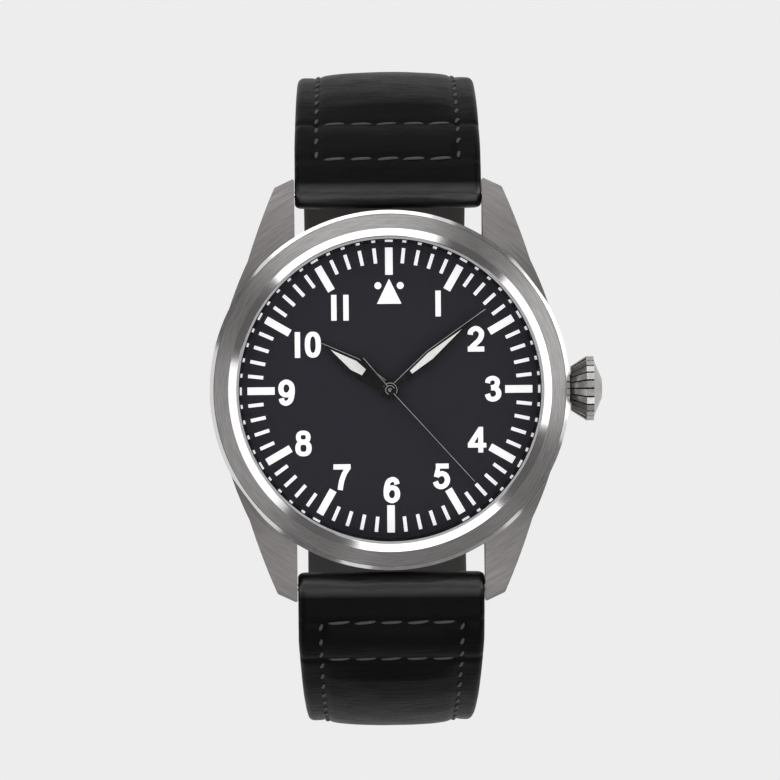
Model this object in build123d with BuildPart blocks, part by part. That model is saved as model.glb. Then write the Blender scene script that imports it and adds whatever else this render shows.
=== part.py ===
from build123d import *
from math import atan2, cos, degrees, radians, sin
import os

# Pilot watch with a steel case, a hand-wound movement and a padded leather strap closed by a tang buckle.
# Millimetres. The origin is the middle of the case back's outer face, +Z points out of the dial, +Y to 12
# o'clock and +X to the crown.
os.makedirs("parts", exist_ok=True)

# Driving dimensions of the whole watch
case_radius = 19.5
case_bottom = 0.7
case_top = 7.0
lug_gap = 20.4
lug_reach = 1.6
bar_stand = 1.9
bar_z = 2.9
bezel_top = 9.15
crystal_top = 10.1
movement_radius = 12.8
crown_radius = 3.5
crown_z = 3.7
strap_play = 0.3
buckle_width = 18.0
overrun = 1.0
small_radius = 1.0
small_sides = 12

# Heights of the movement, stacked from the case back to the hands
back_thickness = 1.0
winding_wheel_z = 1.45
winding_wheel_thickness = 0.3
bridge_z = 1.85
bridge_thickness = 0.6
wheel_thickness = 0.12
third_wheel_z = 2.57
fourth_wheel_z = 2.81
centre_wheel_z = 3.05
barrel_z = 3.35
escape_wheel_z = 3.45
hairspring_z = 2.49
balance_z = 2.62
pocket_floor = 4.8
recess_floor = 5.4
minute_wheel_z = 5.5
hour_wheel_z = 5.82
dial_z = 6.2
dial_thickness = 0.4
hand_thickness = 0.15
hour_hand_z = 6.95
minute_hand_z = 7.35
seconds_hand_z = 7.75
crystal_z = 8.4

bar_y = case_radius + bar_stand
lug_to_lug = 2 * (bar_y + lug_reach)
strap_width = lug_gap - strap_play
plate_z = bridge_z + bridge_thickness
dial_top = dial_z + dial_thickness
barrel_lid_gap = 0.15
barrel_top = pocket_floor - barrel_lid_gap

# Running fits
running_gap = 0.04
part_gap = 0.05

# Case middle: a turned ring with four lugs
case_wall = 4.2
back_seat_width = 1.15
back_seat_depth = 0.5
dial_seat_width = 1.1
dial_gap = 0.1
case_belly_step = 1.3
case_belly_height = 1.9
belly_share = (0.65, 0.3)
case_edge_drop = 0.4
lug_root_y = 9.0
lug_root_breadth = 2.8
lug_corner_breadth = 2.15
lug_corner_reach = 0.65
lug_nose_breadth = 0.15
lug_corner_radius = 0.4
lug_blend_angle = 22.5
lug_blend_depth = 0.25
lug_flank_share = (0.311, 0.293)
lug_waist_share = (0.542, 0.549)
lug_root_share = (0.782, 0.755)
lug_crest_z = 6.55
lug_shoulder_back = 2.9
lug_shoulder_z = 5.6
lug_tip_top = 3.5
lug_tip_bottom = 1.9
lug_belly_z = 0.85
bar_hole_radius = 0.42
bar_hole_depth = 0.95
tube_radius = 1.55

case_bore = case_radius - case_wall
back_seat_radius = case_bore + back_seat_width
dial_seat_radius = case_bore + dial_seat_width
dial_radius = dial_seat_radius - dial_gap
case_belly_radius = case_radius - case_belly_step
lug_inner_x = lug_gap / 2
lug_root_x = lug_inner_x + lug_root_breadth
lug_corner_x = lug_inner_x + lug_corner_breadth
lug_nose_x = lug_inner_x + lug_nose_breadth
lug_tip_y = lug_to_lug / 2
lug_corner_y = bar_y + lug_corner_reach
lug_shoulder_y = bar_y - lug_shoulder_back
blend_x = (case_radius - lug_blend_depth) * cos(radians(lug_blend_angle))
blend_y = (case_radius - lug_blend_depth) * sin(radians(lug_blend_angle))


def lug_edge(share):
    """Point on the outer edge of a lug, at shares of the way from its corner to the case."""
    return (
        lug_corner_x + share[0] * (blend_x - lug_corner_x),
        lug_corner_y + share[1] * (blend_y - lug_corner_y),
    )


with BuildPart() as case_middle:
    with BuildSketch(Plane.XY.offset(case_bottom)) as lug_plan:
        with BuildLine():
            Line((lug_nose_x, lug_tip_y), (lug_corner_x, lug_corner_y))
            ThreePointArc(
                (lug_corner_x, lug_corner_y), lug_edge(lug_flank_share), lug_edge(lug_waist_share)
            )
            ThreePointArc(lug_edge(lug_waist_share), lug_edge(lug_root_share), (blend_x, blend_y))
            Polyline(
                (blend_x, blend_y),
                (lug_root_x, lug_root_y / 2),
                (lug_inner_x, lug_root_y),
                (lug_inner_x, lug_tip_y - (lug_nose_x - lug_inner_x)),
                (lug_nose_x, lug_tip_y),
            )
        make_face()
        corner = lug_plan.vertices().sort_by_distance((lug_corner_x, lug_corner_y, case_bottom))[0]
        fillet(corner, radius=lug_corner_radius)
        mirror(about=Plane.YZ)
        mirror(about=Plane.XZ)
    extrude(amount=case_top - case_bottom)
    with BuildSketch(Plane.YZ) as lug_side:
        with BuildLine():
            Polyline((0, case_bottom), (0, lug_crest_z), (lug_root_y, lug_crest_z))
            ThreePointArc(
                (lug_root_y, lug_crest_z), (lug_shoulder_y, lug_shoulder_z), (lug_tip_y, lug_tip_top)
            )
            Line((lug_tip_y, lug_tip_top), (lug_tip_y, lug_tip_bottom))
            ThreePointArc(
                (lug_tip_y, lug_tip_bottom), (lug_shoulder_y, lug_belly_z), (lug_root_y, case_bottom)
            )
            Line((lug_root_y, case_bottom), (0, case_bottom))
        make_face()
        mirror(about=Plane.YZ)
    extrude(amount=case_radius, both=True, mode=Mode.INTERSECT)
    with BuildSketch(Plane.XZ):
        with BuildLine():
            Polyline(
                (case_bore, case_bottom),
                (case_belly_radius, case_bottom),
                (
                    case_belly_radius + belly_share[0] * (case_radius - case_belly_radius),
                    case_bottom + belly_share[1] * case_belly_height,
                ),
                (case_radius, case_bottom + case_belly_height),
                (case_radius, case_top - case_edge_drop),
                (case_radius - case_edge_drop, case_top),
                (case_bore, case_top),
                (case_bore, case_bottom),
            )
        make_face()
    revolve(axis=Axis.Z)
    with BuildSketch(Plane.XY):
        Circle(case_bore)
    extrude(amount=case_top + overrun, mode=Mode.SUBTRACT)
    with BuildSketch(Plane.XY):
        Circle(back_seat_radius)
    extrude(amount=case_bottom + back_seat_depth, mode=Mode.SUBTRACT)
    with BuildSketch(Plane.XY.offset(dial_z)):
        Circle(dial_seat_radius)
    extrude(amount=case_top, mode=Mode.SUBTRACT)
    with BuildSketch(Plane.YZ):
        with Locations((0, crown_z)):
            Circle(tube_radius)
    extrude(amount=case_radius + overrun, mode=Mode.SUBTRACT)
    with BuildSketch(Plane.YZ):
        with Locations((bar_y, bar_z), (-bar_y, bar_z)):
            Circle(bar_hole_radius)
    extrude(amount=lug_inner_x + bar_hole_depth, both=True, mode=Mode.SUBTRACT)
case_middle.part.label = "case_middle"
export_step(case_middle.part, "parts/case_middle.step")

# Bezel: brushed slope, polished lip, bore for the crystal and its gasket
bezel_step = 0.47
bezel_breadth = 2.43
bezel_lip_breadth = 0.87
crystal_gasket_width = 0.25
bezel_foot = 0.15
bezel_lip_drop = 0.42
bezel_bevel = 0.08
bezel_radius = case_radius - bezel_step
bezel_bore = bezel_radius - bezel_breadth
bezel_lip_radius = bezel_bore + bezel_lip_breadth
crystal_radius = bezel_bore - crystal_gasket_width

with BuildPart() as bezel:
    with BuildSketch(Plane.XZ):
        with BuildLine():
            Polyline(
                (bezel_bore, case_top),
                (bezel_radius, case_top),
                (bezel_radius, case_top + bezel_foot),
                (bezel_lip_radius, bezel_top - bezel_lip_drop),
                (bezel_bore + bezel_bevel, bezel_top),
                (bezel_bore, bezel_top - bezel_bevel),
                close=True,
            )
        make_face()
    revolve(axis=Axis.Z)
bezel.part.label = "bezel"
export_step(bezel.part, "parts/bezel.step")

# Crystal: slightly domed disc with a bevelled edge, held by a gasket ring
crystal_edge = 9.1
crystal_bevel = 0.2

with BuildPart() as crystal:
    with BuildSketch(Plane.XZ):
        with BuildLine():
            Polyline(
                (0, crystal_top),
                (0, crystal_z),
                (crystal_radius, crystal_z),
                (crystal_radius, crystal_edge),
                (crystal_radius - crystal_bevel, crystal_edge + crystal_bevel),
            )
            dome_rise = crystal_top - crystal_edge - crystal_bevel
            dome_half = crystal_radius - crystal_bevel
            dome_radius = (dome_half**2 + dome_rise**2) / (2 * dome_rise)
            RadiusArc((dome_half, crystal_edge + crystal_bevel), (0, crystal_top), -dome_radius)
        make_face()
    revolve(axis=Axis.Z)
crystal.part.label = "crystal"
export_step(crystal.part, "parts/crystal.step")

gasket_sink = 0.15
gasket_top = bezel_top - gasket_sink

with BuildPart() as crystal_gasket:
    with BuildSketch(Plane.XY.offset(crystal_z)):
        Circle(bezel_bore)
        Circle(crystal_radius, mode=Mode.SUBTRACT)
    extrude(amount=gasket_top - crystal_z)
crystal_gasket.part.label = "crystal_gasket"
export_step(crystal_gasket.part, "parts/crystal_gasket.step")

# Flange ring: the steep inner wall between dial and crystal
flange_foot_width = 0.29
flange_head_width = 0.1
flange_outer = dial_seat_radius - part_gap
flange_foot_radius = flange_outer - flange_foot_width
flange_head_radius = flange_outer - flange_head_width

with BuildPart() as flange_ring:
    with BuildSketch(Plane.XZ):
        with BuildLine():
            Polyline(
                (flange_foot_radius, dial_top),
                (flange_outer, dial_top),
                (flange_outer, crystal_z),
                (flange_head_radius, crystal_z),
                close=True,
            )
        make_face()
    revolve(axis=Axis.Z)
flange_ring.part.label = "flange_ring"
export_step(flange_ring.part, "parts/flange_ring.step")

# Dial with a hole for the hour wheel's pipe
dial_hole_radius = 0.95

with BuildPart() as dial:
    with BuildSketch(Plane.XY.offset(dial_z)):
        Circle(dial_radius)
        Circle(dial_hole_radius, mode=Mode.SUBTRACT)
    extrude(amount=dial_thickness)
dial.part.label = "dial"
export_step(dial.part, "parts/dial.step")

# Raised markers: hour bars, minute bars, triangle and two dots at 12 o'clock
marker_thickness = 0.06
marker_margin = 0.88
marker_outer = dial_radius - marker_margin
hour_bar_length = 2.95
hour_bar_width = 0.82
minute_bar_length = 1.65
minute_bar_width = 0.38
triangle_apex_y = 12.05
triangle_base_y = 9.33
triangle_half_width = 1.33
marker_dot_x = 1.21
marker_dot_y = 11.3
marker_dot_radius = 0.38
minutes_in_hour = 60
hours_on_dial = 12
bars_per_hour = minutes_in_hour // hours_on_dial
minute_angles = [
    360 / minutes_in_hour * minute for minute in range(minutes_in_hour) if minute % bars_per_hour
]

with BuildPart() as dial_markers:
    with BuildSketch(Plane.XY.offset(dial_top)):
        with PolarLocations(marker_outer - hour_bar_length / 2, hours_on_dial):
            Rectangle(hour_bar_length, hour_bar_width)
        for angle in minute_angles:
            radius = marker_outer - minute_bar_length / 2
            with Locations(Location((radius * cos(radians(angle)), radius * sin(radians(angle))), angle)):
                Rectangle(minute_bar_length, minute_bar_width)
        with BuildLine():
            Polyline(
                (0, triangle_apex_y),
                (-triangle_half_width, triangle_base_y),
                (triangle_half_width, triangle_base_y),
                close=True,
            )
        make_face()
        with Locations((-marker_dot_x, marker_dot_y), (marker_dot_x, marker_dot_y)):
            Circle(marker_dot_radius)
    extrude(amount=marker_thickness)
dial_markers.part.label = "dial_markers"
export_step(dial_markers.part, "parts/dial_markers.step")


# Hands, drawn pointing to 12 and turned to the time shown
hour_hand_angle = 304.6
minute_hand_angle = 50.2
seconds_hand_angle = 137.8
hand_bevel = 0.045
hour_pipe_radius = 0.8
cannon_radius = 0.55
centre_tube_radius = 0.34
seconds_arbor_radius = 0.13


def lance_outline(root_y, root_half, belly_y, belly_half, tip_y):
    """Closed outline of a lance: it widens from its root to its belly and runs to a point."""
    with BuildLine() as outline:
        Polyline(
            (-root_half, root_y),
            (-belly_half, belly_y),
            (0, tip_y),
            (belly_half, belly_y),
            (root_half, root_y),
            close=True,
        )
    make_face(outline.edges())


hour_hub_radius = 1.03
hour_root_half = 0.58
hour_belly_y = 4.75
hour_belly_half = 0.92
hour_tip_y = 9.17
hour_lume_root_y = 3.4
hour_lume_root_half = 0.39
hour_lume_belly_half = 0.57
hour_lume_tip_y = 7.8

with BuildPart() as hour_hand:
    with BuildSketch(Plane((0, 0, hour_hand_z)).rotated((0, 0, -hour_hand_angle))):
        lance_outline(0, hour_root_half, hour_belly_y, hour_belly_half, hour_tip_y)
        Circle(hour_hub_radius)
    extrude(amount=hand_thickness)
    chamfer(hour_hand.faces().sort_by(Axis.Z)[-1].edges(), length=hand_bevel)
    with BuildSketch(Plane((0, 0, hour_hand_z)).rotated((0, 0, -hour_hand_angle))):
        lance_outline(
            hour_lume_root_y, hour_lume_root_half, hour_belly_y, hour_lume_belly_half, hour_lume_tip_y
        )
        Circle(hour_pipe_radius)
    extrude(amount=hand_thickness, mode=Mode.SUBTRACT)
hour_hand.part.label = "hour_hand"
export_step(hour_hand.part, "parts/hour_hand.step")

lume_sink = 0.02

with BuildPart() as hour_lume:
    with BuildSketch(Plane((0, 0, hour_hand_z)).rotated((0, 0, -hour_hand_angle))):
        lance_outline(
            hour_lume_root_y, hour_lume_root_half, hour_belly_y, hour_lume_belly_half, hour_lume_tip_y
        )
    extrude(amount=hand_thickness - lume_sink)
hour_lume.part.label = "hour_lume"
export_step(hour_lume.part, "parts/hour_lume.step")

minute_hub_radius = 0.83
minute_root_half = 0.28
minute_belly_y = 5.7
minute_belly_half = 0.67
minute_tip_y = 13.56
minute_lume_root_y = 2.97
minute_lume_root_half = 0.2
minute_lume_belly_half = 0.41
minute_lume_tip_y = 10.2

with BuildPart() as minute_hand:
    with BuildSketch(Plane((0, 0, minute_hand_z)).rotated((0, 0, -minute_hand_angle))):
        lance_outline(0, minute_root_half, minute_belly_y, minute_belly_half, minute_tip_y)
        Circle(minute_hub_radius)
    extrude(amount=hand_thickness)
    chamfer(minute_hand.faces().sort_by(Axis.Z)[-1].edges(), length=hand_bevel)
    with BuildSketch(Plane((0, 0, minute_hand_z)).rotated((0, 0, -minute_hand_angle))):
        lance_outline(
            minute_lume_root_y,
            minute_lume_root_half,
            minute_belly_y,
            minute_lume_belly_half,
            minute_lume_tip_y,
        )
        Circle(cannon_radius)
    extrude(amount=hand_thickness, mode=Mode.SUBTRACT)
minute_hand.part.label = "minute_hand"
export_step(minute_hand.part, "parts/minute_hand.step")

with BuildPart() as minute_lume:
    with BuildSketch(Plane((0, 0, minute_hand_z)).rotated((0, 0, -minute_hand_angle))):
        lance_outline(
            minute_lume_root_y,
            minute_lume_root_half,
            minute_belly_y,
            minute_lume_belly_half,
            minute_lume_tip_y,
        )
    extrude(amount=hand_thickness - lume_sink)
minute_lume.part.label = "minute_lume"
export_step(minute_lume.part, "parts/minute_lume.step")

seconds_tip_y = 13.57
seconds_tail_y = 4.5
seconds_half = 0.07
seconds_neck_half = 0.13
seconds_tail_half = 0.25
seconds_hub_radius = 0.52
seconds_pipe_height = 0.14

with BuildPart() as seconds_hand:
    with BuildSketch(Plane((0, 0, seconds_hand_z)).rotated((0, 0, -seconds_hand_angle))):
        with BuildLine():
            Polyline(
                (-seconds_tail_half, -seconds_tail_y),
                (-seconds_neck_half, 0),
                (-seconds_half, seconds_tip_y),
                (seconds_half, seconds_tip_y),
                (seconds_neck_half, 0),
                (seconds_tail_half, -seconds_tail_y),
                close=True,
            )
        make_face()
        Circle(seconds_hub_radius)
        Circle(seconds_arbor_radius, mode=Mode.SUBTRACT)
    extrude(amount=hand_thickness / 2)
    with BuildSketch(Plane.XY.offset(seconds_hand_z + hand_thickness / 2)):
        Circle(seconds_hub_radius / 2)
        Circle(seconds_arbor_radius, mode=Mode.SUBTRACT)
    extrude(amount=seconds_pipe_height)
seconds_hand.part.label = "seconds_hand"
export_step(seconds_hand.part, "parts/seconds_hand.step")

# Screwed case back with six wrench notches
back_flange_gap = 0.2
back_flange_width = 0.65
back_edge_width = 1.0
back_wall = 1.3
back_gasket_width = 0.75
back_collar_depth = 1.2
back_flange_radius = back_seat_radius - back_flange_gap
back_edge_radius = back_flange_radius - back_flange_width
back_flat_radius = back_edge_radius - back_edge_width
back_pocket_radius = case_bore - back_wall
notch_count = 6
notch_width = 2.4
notch_depth = 0.45
notch_reach = 1.4
back_step = 0.1
back_gasket_thickness = 0.25
back_step_z = case_bottom + back_step
back_seat_z = case_bottom + back_seat_depth
collar_radius = case_bore - part_gap
gasket_seat = back_seat_z - back_gasket_thickness

with BuildPart() as case_back:
    with BuildSketch(Plane.XZ):
        with BuildLine():
            Polyline(
                (0, 0),
                (back_flat_radius, 0),
                (back_edge_radius, back_step_z / 2),
                (back_flange_radius, back_step_z),
                (back_flange_radius, gasket_seat),
                (collar_radius, gasket_seat),
                (collar_radius, back_thickness + back_collar_depth),
                (back_pocket_radius, back_thickness + back_collar_depth),
                (back_pocket_radius, back_thickness),
                (0, back_thickness),
                close=True,
            )
        make_face()
    revolve(axis=Axis.Z)
    with BuildSketch(Plane.XY):
        with PolarLocations(back_flat_radius, notch_count):
            Rectangle(notch_reach, notch_width)
    extrude(amount=notch_depth, mode=Mode.SUBTRACT)
case_back.part.label = "case_back"
export_step(case_back.part, "parts/case_back.step")

with BuildPart() as back_gasket:
    with BuildSketch(Plane.XY.offset(gasket_seat)):
        Circle(case_bore + back_gasket_width)
        Circle(case_bore, mode=Mode.SUBTRACT)
    extrude(amount=back_seat_z - gasket_seat)
back_gasket.part.label = "back_gasket"
export_step(back_gasket.part, "parts/back_gasket.step")

# Crown, its tube and gasket, and the winding stem, all on the line through 3 o'clock
crown_gap = 0.18
crown_neck_length = 1.65
crown_rim_length = 0.8
crown_cone_length = 0.92
crown_inner_x = case_radius + crown_gap
crown_cone_x = crown_inner_x + crown_neck_length
crown_rim_x = crown_cone_x + crown_rim_length
crown_front_x = crown_rim_x + crown_cone_length
crown_inner_radius = 2.42
crown_front_radius = 1.05
flute_count = 24
flute_depth = 0.26
flute_half_angle = 1.5
crown_bore_radius = 1.75
crown_bore_room = 0.02
crown_bore_end = crown_cone_x + crown_bore_room
tube_bore = 0.95
tube_sink = 0.1
tube_stand = 1.4
tube_inner_x = case_bore + tube_sink
tube_outer_x = case_radius + tube_stand
gasket_length = 0.5
stem_radius = 0.6
stem_pilot_radius = 0.42
stem_inner_x = 6.6
stem_neck_x = 11.4


def fluted_outline(radius):
    """Outline of the crown's cut across: flat faces with a narrow V groove between each two."""
    corners = []
    for flute in range(flute_count):
        middle = flute * 360 / flute_count
        for angle, depth in (
            (middle - flute_half_angle, 0),
            (middle, flute_depth),
            (middle + flute_half_angle, 0),
        ):
            corners.append(
                (
                    (radius - depth) * cos(radians(angle)),
                    (radius - depth) * sin(radians(angle)),
                )
            )
    with BuildLine() as outline:
        Polyline(*corners, close=True)
    make_face(outline.edges())


def across_stem(x):
    """Plane square to the stem at x, with its own origin on the stem's axis."""
    return Plane(origin=(x, 0, crown_z), x_dir=(0, 1, 0), z_dir=(1, 0, 0))


with BuildPart() as crown:
    with BuildSketch(across_stem(crown_inner_x)):
        fluted_outline(crown_inner_radius)
    with BuildSketch(across_stem(crown_cone_x)):
        fluted_outline(crown_radius)
    loft(ruled=True)
    with BuildSketch(across_stem(crown_cone_x)):
        fluted_outline(crown_radius)
    extrude(amount=crown_rim_x - crown_cone_x)
    with BuildSketch(across_stem(crown_rim_x)):
        Circle(crown_radius - flute_depth)
    with BuildSketch(across_stem(crown_front_x)):
        Circle(crown_front_radius)
    loft(ruled=True)
    with BuildSketch(across_stem(crown_inner_x)):
        Circle(crown_bore_radius)
        Circle(stem_radius, mode=Mode.SUBTRACT)
    extrude(amount=crown_bore_end - crown_inner_x, mode=Mode.SUBTRACT)
    with BuildSketch(across_stem(crown_inner_x)):
        Circle(stem_radius)
    extrude(amount=crown_bore_end - crown_inner_x, mode=Mode.SUBTRACT)
crown.part.label = "crown"
export_step(crown.part, "parts/crown.step")

with BuildPart() as crown_tube:
    with BuildSketch(across_stem(tube_inner_x)):
        Circle(tube_radius)
        Circle(tube_bore, mode=Mode.SUBTRACT)
    extrude(amount=tube_outer_x - tube_inner_x)
crown_tube.part.label = "crown_tube"
export_step(crown_tube.part, "parts/crown_tube.step")

with BuildPart() as crown_gasket:
    with BuildSketch(across_stem(crown_inner_x + gasket_length)):
        Circle(crown_bore_radius)
        Circle(tube_radius + running_gap, mode=Mode.SUBTRACT)
    extrude(amount=gasket_length)
crown_gasket.part.label = "crown_gasket"
export_step(crown_gasket.part, "parts/crown_gasket.step")

with BuildPart() as winding_stem:
    with BuildSketch(across_stem(stem_inner_x)):
        Circle(stem_pilot_radius)
    extrude(amount=stem_neck_x - stem_inner_x)
    with BuildSketch(across_stem(stem_neck_x)):
        Circle(stem_radius)
    extrude(amount=crown_bore_end - stem_neck_x)
winding_stem.part.label = "winding_stem"
export_step(winding_stem.part, "parts/winding_stem.step")

# Where the arbors stand, worked out from the wheels that mesh
tooth_shares = ((-0.3, -1.1), (-0.1, 0.85), (0.1, 0.85), (0.3, -1.1))


def toothed_outline(teeth, pitch_radius, turn):
    """Outline of a wheel or pinion with the middle of one tooth at the angle turn."""
    module = 2 * pitch_radius / teeth
    corners = []
    for tooth in range(teeth):
        for angle_share, height_share in tooth_shares:
            angle = radians(turn + (tooth + angle_share) * 360 / teeth)
            radius = pitch_radius + height_share * module
            corners.append((radius * cos(angle), radius * sin(angle)))
    with BuildLine() as outline:
        Polyline(*corners, close=True)
    make_face(outline.edges())


def polar(distance, angle):
    """Point at a distance and an angle from the movement's centre."""
    return Vector(distance * cos(radians(angle)), distance * sin(radians(angle)))


centre_teeth = 48
third_pinion_teeth = 6
third_teeth = 45
fourth_pinion_teeth = 6
fourth_teeth = 54
escape_pinion_teeth = 6
barrel_teeth = 60
centre_pinion_teeth = 10
cannon_teeth = 10
minute_wheel_teeth = 30
minute_pinion_teeth = 8
hour_wheel_teeth = 32
crown_wheel_teeth = 30
ratchet_teeth = 42
winding_pinion_teeth = 20

centre_radius = 3.6
third_distance = centre_radius * (1 + third_pinion_teeth / centre_teeth)
third_radius = third_distance * third_teeth / (third_teeth + fourth_pinion_teeth)
fourth_radius = 3.51
escape_distance = fourth_radius * (1 + escape_pinion_teeth / fourth_teeth)
barrel_radius = 5.4
barrel_distance = barrel_radius * (1 + centre_pinion_teeth / barrel_teeth)
cannon_pitch_radius = 0.8
minute_distance = cannon_pitch_radius * (1 + minute_wheel_teeth / cannon_teeth)
hour_wheel_radius = minute_distance * hour_wheel_teeth / (hour_wheel_teeth + minute_pinion_teeth)

third_angle = -60
escape_angle = -150
barrel_angle = 65
minute_angle = 20
pallet_angle = 150
balance_angle = 150
pallet_distance = 2.4
roller_distance = 3.0
crown_wheel_x = 7.0

third_place = polar(third_distance, third_angle)
escape_place = polar(escape_distance, escape_angle)
barrel_place = polar(barrel_distance, barrel_angle)
minute_place = polar(minute_distance, minute_angle)
pallet_place = escape_place + polar(pallet_distance, pallet_angle)
balance_place = pallet_place + polar(roller_distance, balance_angle)
crown_wheel_place = Vector(crown_wheel_x, 0)
winding_line = barrel_place - crown_wheel_place
winding_angle = degrees(atan2(winding_line.Y, winding_line.X))
crown_wheel_radius = winding_line.length * crown_wheel_teeth / (crown_wheel_teeth + ratchet_teeth)
ratchet_radius = winding_line.length - crown_wheel_radius

arbor_radius = 0.22
pivot_radius = 0.13
pivot_length = 0.3
jewel_radius = 0.45
jewel_thickness = 0.3
pocket_gap = 0.25
centre_place = Vector(0, 0)
upper_jewel_z = bridge_z + (bridge_thickness - jewel_thickness) / 2
lower_jewel_z = pocket_floor + (recess_floor - pocket_floor - jewel_thickness) / 2
lower_pivot_end = lower_jewel_z + jewel_thickness


def at(place, height):
    """Horizontal plane at a height, with its origin on the arbor standing at place."""
    return Plane((place.X, place.Y, height))


def round_section(radius):
    """Round section, drawn with a few flats where it is small."""
    if radius < small_radius:
        RegularPolygon(radius, small_sides)
    else:
        Circle(radius)


def disc(place, radius, low, high, mode=Mode.ADD):
    """Round disc, arbor or hole standing at place, from one height to another."""
    with BuildSketch(at(place, low)) as section:
        round_section(radius)
    extrude(section.sketch, amount=high - low, mode=mode)


def toothed_disc(place, teeth, pitch_radius, turn, low, high):
    """Wheel or pinion standing at place, with the middle of one tooth at the angle turn."""
    with BuildSketch(at(place, low)) as section:
        toothed_outline(teeth, pitch_radius, turn)
    extrude(section.sketch, amount=high - low)


def arbor(place, low, high):
    """Arbor with a thinner pivot at each end, from jewel to jewel."""
    disc(place, pivot_radius, low, high)
    disc(place, arbor_radius, low + pivot_length, high - pivot_length)


def facing_turn(angle, teeth):
    """Turn of a wheel whose gap between two teeth faces the angle."""
    return angle + 180 / teeth


# Main plate with pockets for the train on its back and a recess for the motion work under the dial
pinion_x = 9.85
pinion_length = 1.0
winding_pinion_radius = crown_wheel_radius * winding_pinion_teeth / crown_wheel_teeth
clutch_radius = 1.1
clutch_x = 7.0
clutch_length = 2.5
recess_radius = 6.2
third_pocket_room = 0.3
escape_pocket_room = 0.45
third_pocket_floor = centre_wheel_z + third_pocket_room
escape_pocket_floor = escape_wheel_z + escape_pocket_room
cock_thickness = 0.3
cock_z = 3.0
cock_half = 0.8
cock_foot_distance = 3.9
cock_foot_angle = -120
cock_foot = pallet_place + polar(cock_foot_distance, cock_foot_angle)
balance_radius = 4.0
minute_post_radius = 0.3
screw_radius = 0.35
screw_head_radius = 0.7
screw_head_height = 0.2
screw_end_z = 3.25
cock_screw_end_z = 4.4
barrel_arbor_radius = 0.5
bridge_radius_share = 0.9
barrel_bridge_shares = ((-0.42, 1), (-0.17, 0.125), (0.125, 0.125), (0.39, -0.16), (1, -0.16), (1, 1))
train_bridge_shares = (
    (-0.2, 0.1),
    (0.113, 0.1),
    (0.375, -0.18),
    (1, -0.18),
    (1, -1),
    (-0.25, -1),
    (-0.39, -0.3),
)
barrel_screw_shares = ((-0.25, 0.77), (0.81, 0.28))
train_screw_shares = ((0.63, -0.5), (-0.17, -0.76))
balance_cock_shares = ((-0.73, -0.44), (-0.46, -0.72))
balance_screw_share = (-0.57, -0.58)
bridge_radius = bridge_radius_share * movement_radius


def on_plate(share):
    """Place on the plate given as shares of its radius."""
    return Vector(share[0] * movement_radius, share[1] * movement_radius)


bridge_screw_places = [
    on_plate(share) for share in (*barrel_screw_shares, *train_screw_shares, balance_screw_share)
]

with BuildPart() as main_plate:
    disc(centre_place, movement_radius, plate_z, dial_z)
    for place, radius, floor in (
        (barrel_place, barrel_radius + pocket_gap, pocket_floor),
        (centre_place, centre_radius + pocket_gap, pocket_floor),
        (third_place, third_radius + pocket_gap, third_pocket_floor),
        (escape_place, pallet_distance + pocket_gap, escape_pocket_floor),
        (balance_place, balance_radius + pocket_gap, pocket_floor),
    ):
        disc(place, radius, plate_z, floor, mode=Mode.SUBTRACT)
    disc(centre_place, recess_radius, recess_floor, dial_z, mode=Mode.SUBTRACT)
    disc(minute_place, minute_post_radius, recess_floor, hour_wheel_z + wheel_thickness)
    for start, length, radius in (
        (stem_inner_x - part_gap, movement_radius, stem_pilot_radius + running_gap),
        (clutch_x - pocket_gap, clutch_length + pocket_gap, clutch_radius + pocket_gap),
        (pinion_x - pocket_gap, pinion_length + 2 * pocket_gap, winding_pinion_radius + pocket_gap),
        (stem_neck_x - part_gap, movement_radius, stem_radius + running_gap),
    ):
        with BuildSketch(across_stem(start)):
            Circle(radius)
        extrude(amount=length, mode=Mode.SUBTRACT)
    with BuildSketch(Plane.XY.offset(plate_z)):
        with Locations(cock_foot, pallet_place):
            Circle(cock_half + part_gap)
        make_hull()
    extrude(amount=cock_z + cock_thickness - plate_z, mode=Mode.SUBTRACT)
    for place in (third_place, escape_place, pallet_place, balance_place):
        disc(place, jewel_radius, plate_z, dial_z, mode=Mode.SUBTRACT)
    disc(centre_place, centre_tube_radius + running_gap, plate_z, dial_z, mode=Mode.SUBTRACT)
    disc(barrel_place, barrel_arbor_radius + running_gap, plate_z, recess_floor, mode=Mode.SUBTRACT)
    for place in bridge_screw_places:
        disc(place, screw_radius, plate_z, screw_end_z, mode=Mode.SUBTRACT)
    disc(cock_foot, screw_radius, plate_z, cock_screw_end_z, mode=Mode.SUBTRACT)
main_plate.part.label = "main_plate"
export_step(main_plate.part, "parts/main_plate.step")

# Bridges and cocks that hold the back ends of the arbors
crown_post_radius = 0.9
post_rise = 0.1
crown_post_z = winding_wheel_z - post_rise
click_distance_gap = 1.0
click_radius = 0.5
click_post_radius = 0.25
click_nose_radius = 0.08
click_lift = 0.3
click_thickness = 0.2
click_teeth = 18
click_lead_angle = -13


def bridge_outline(shares):
    """Corners of a bridge on the plate, trimmed to the bridges' common rim."""
    with BuildLine() as outline:
        Polyline(*[on_plate(share) for share in shares], close=True)
    make_face(outline.edges())
    Circle(bridge_radius, mode=Mode.INTERSECT)


nose_angle = winding_angle + 180 - click_teeth * 360 / ratchet_teeth
click_distance = ratchet_radius + click_distance_gap
click_place = barrel_place + polar(click_distance, nose_angle + click_lead_angle)
nose_place = barrel_place + polar(ratchet_radius + click_lift, nose_angle)

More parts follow.
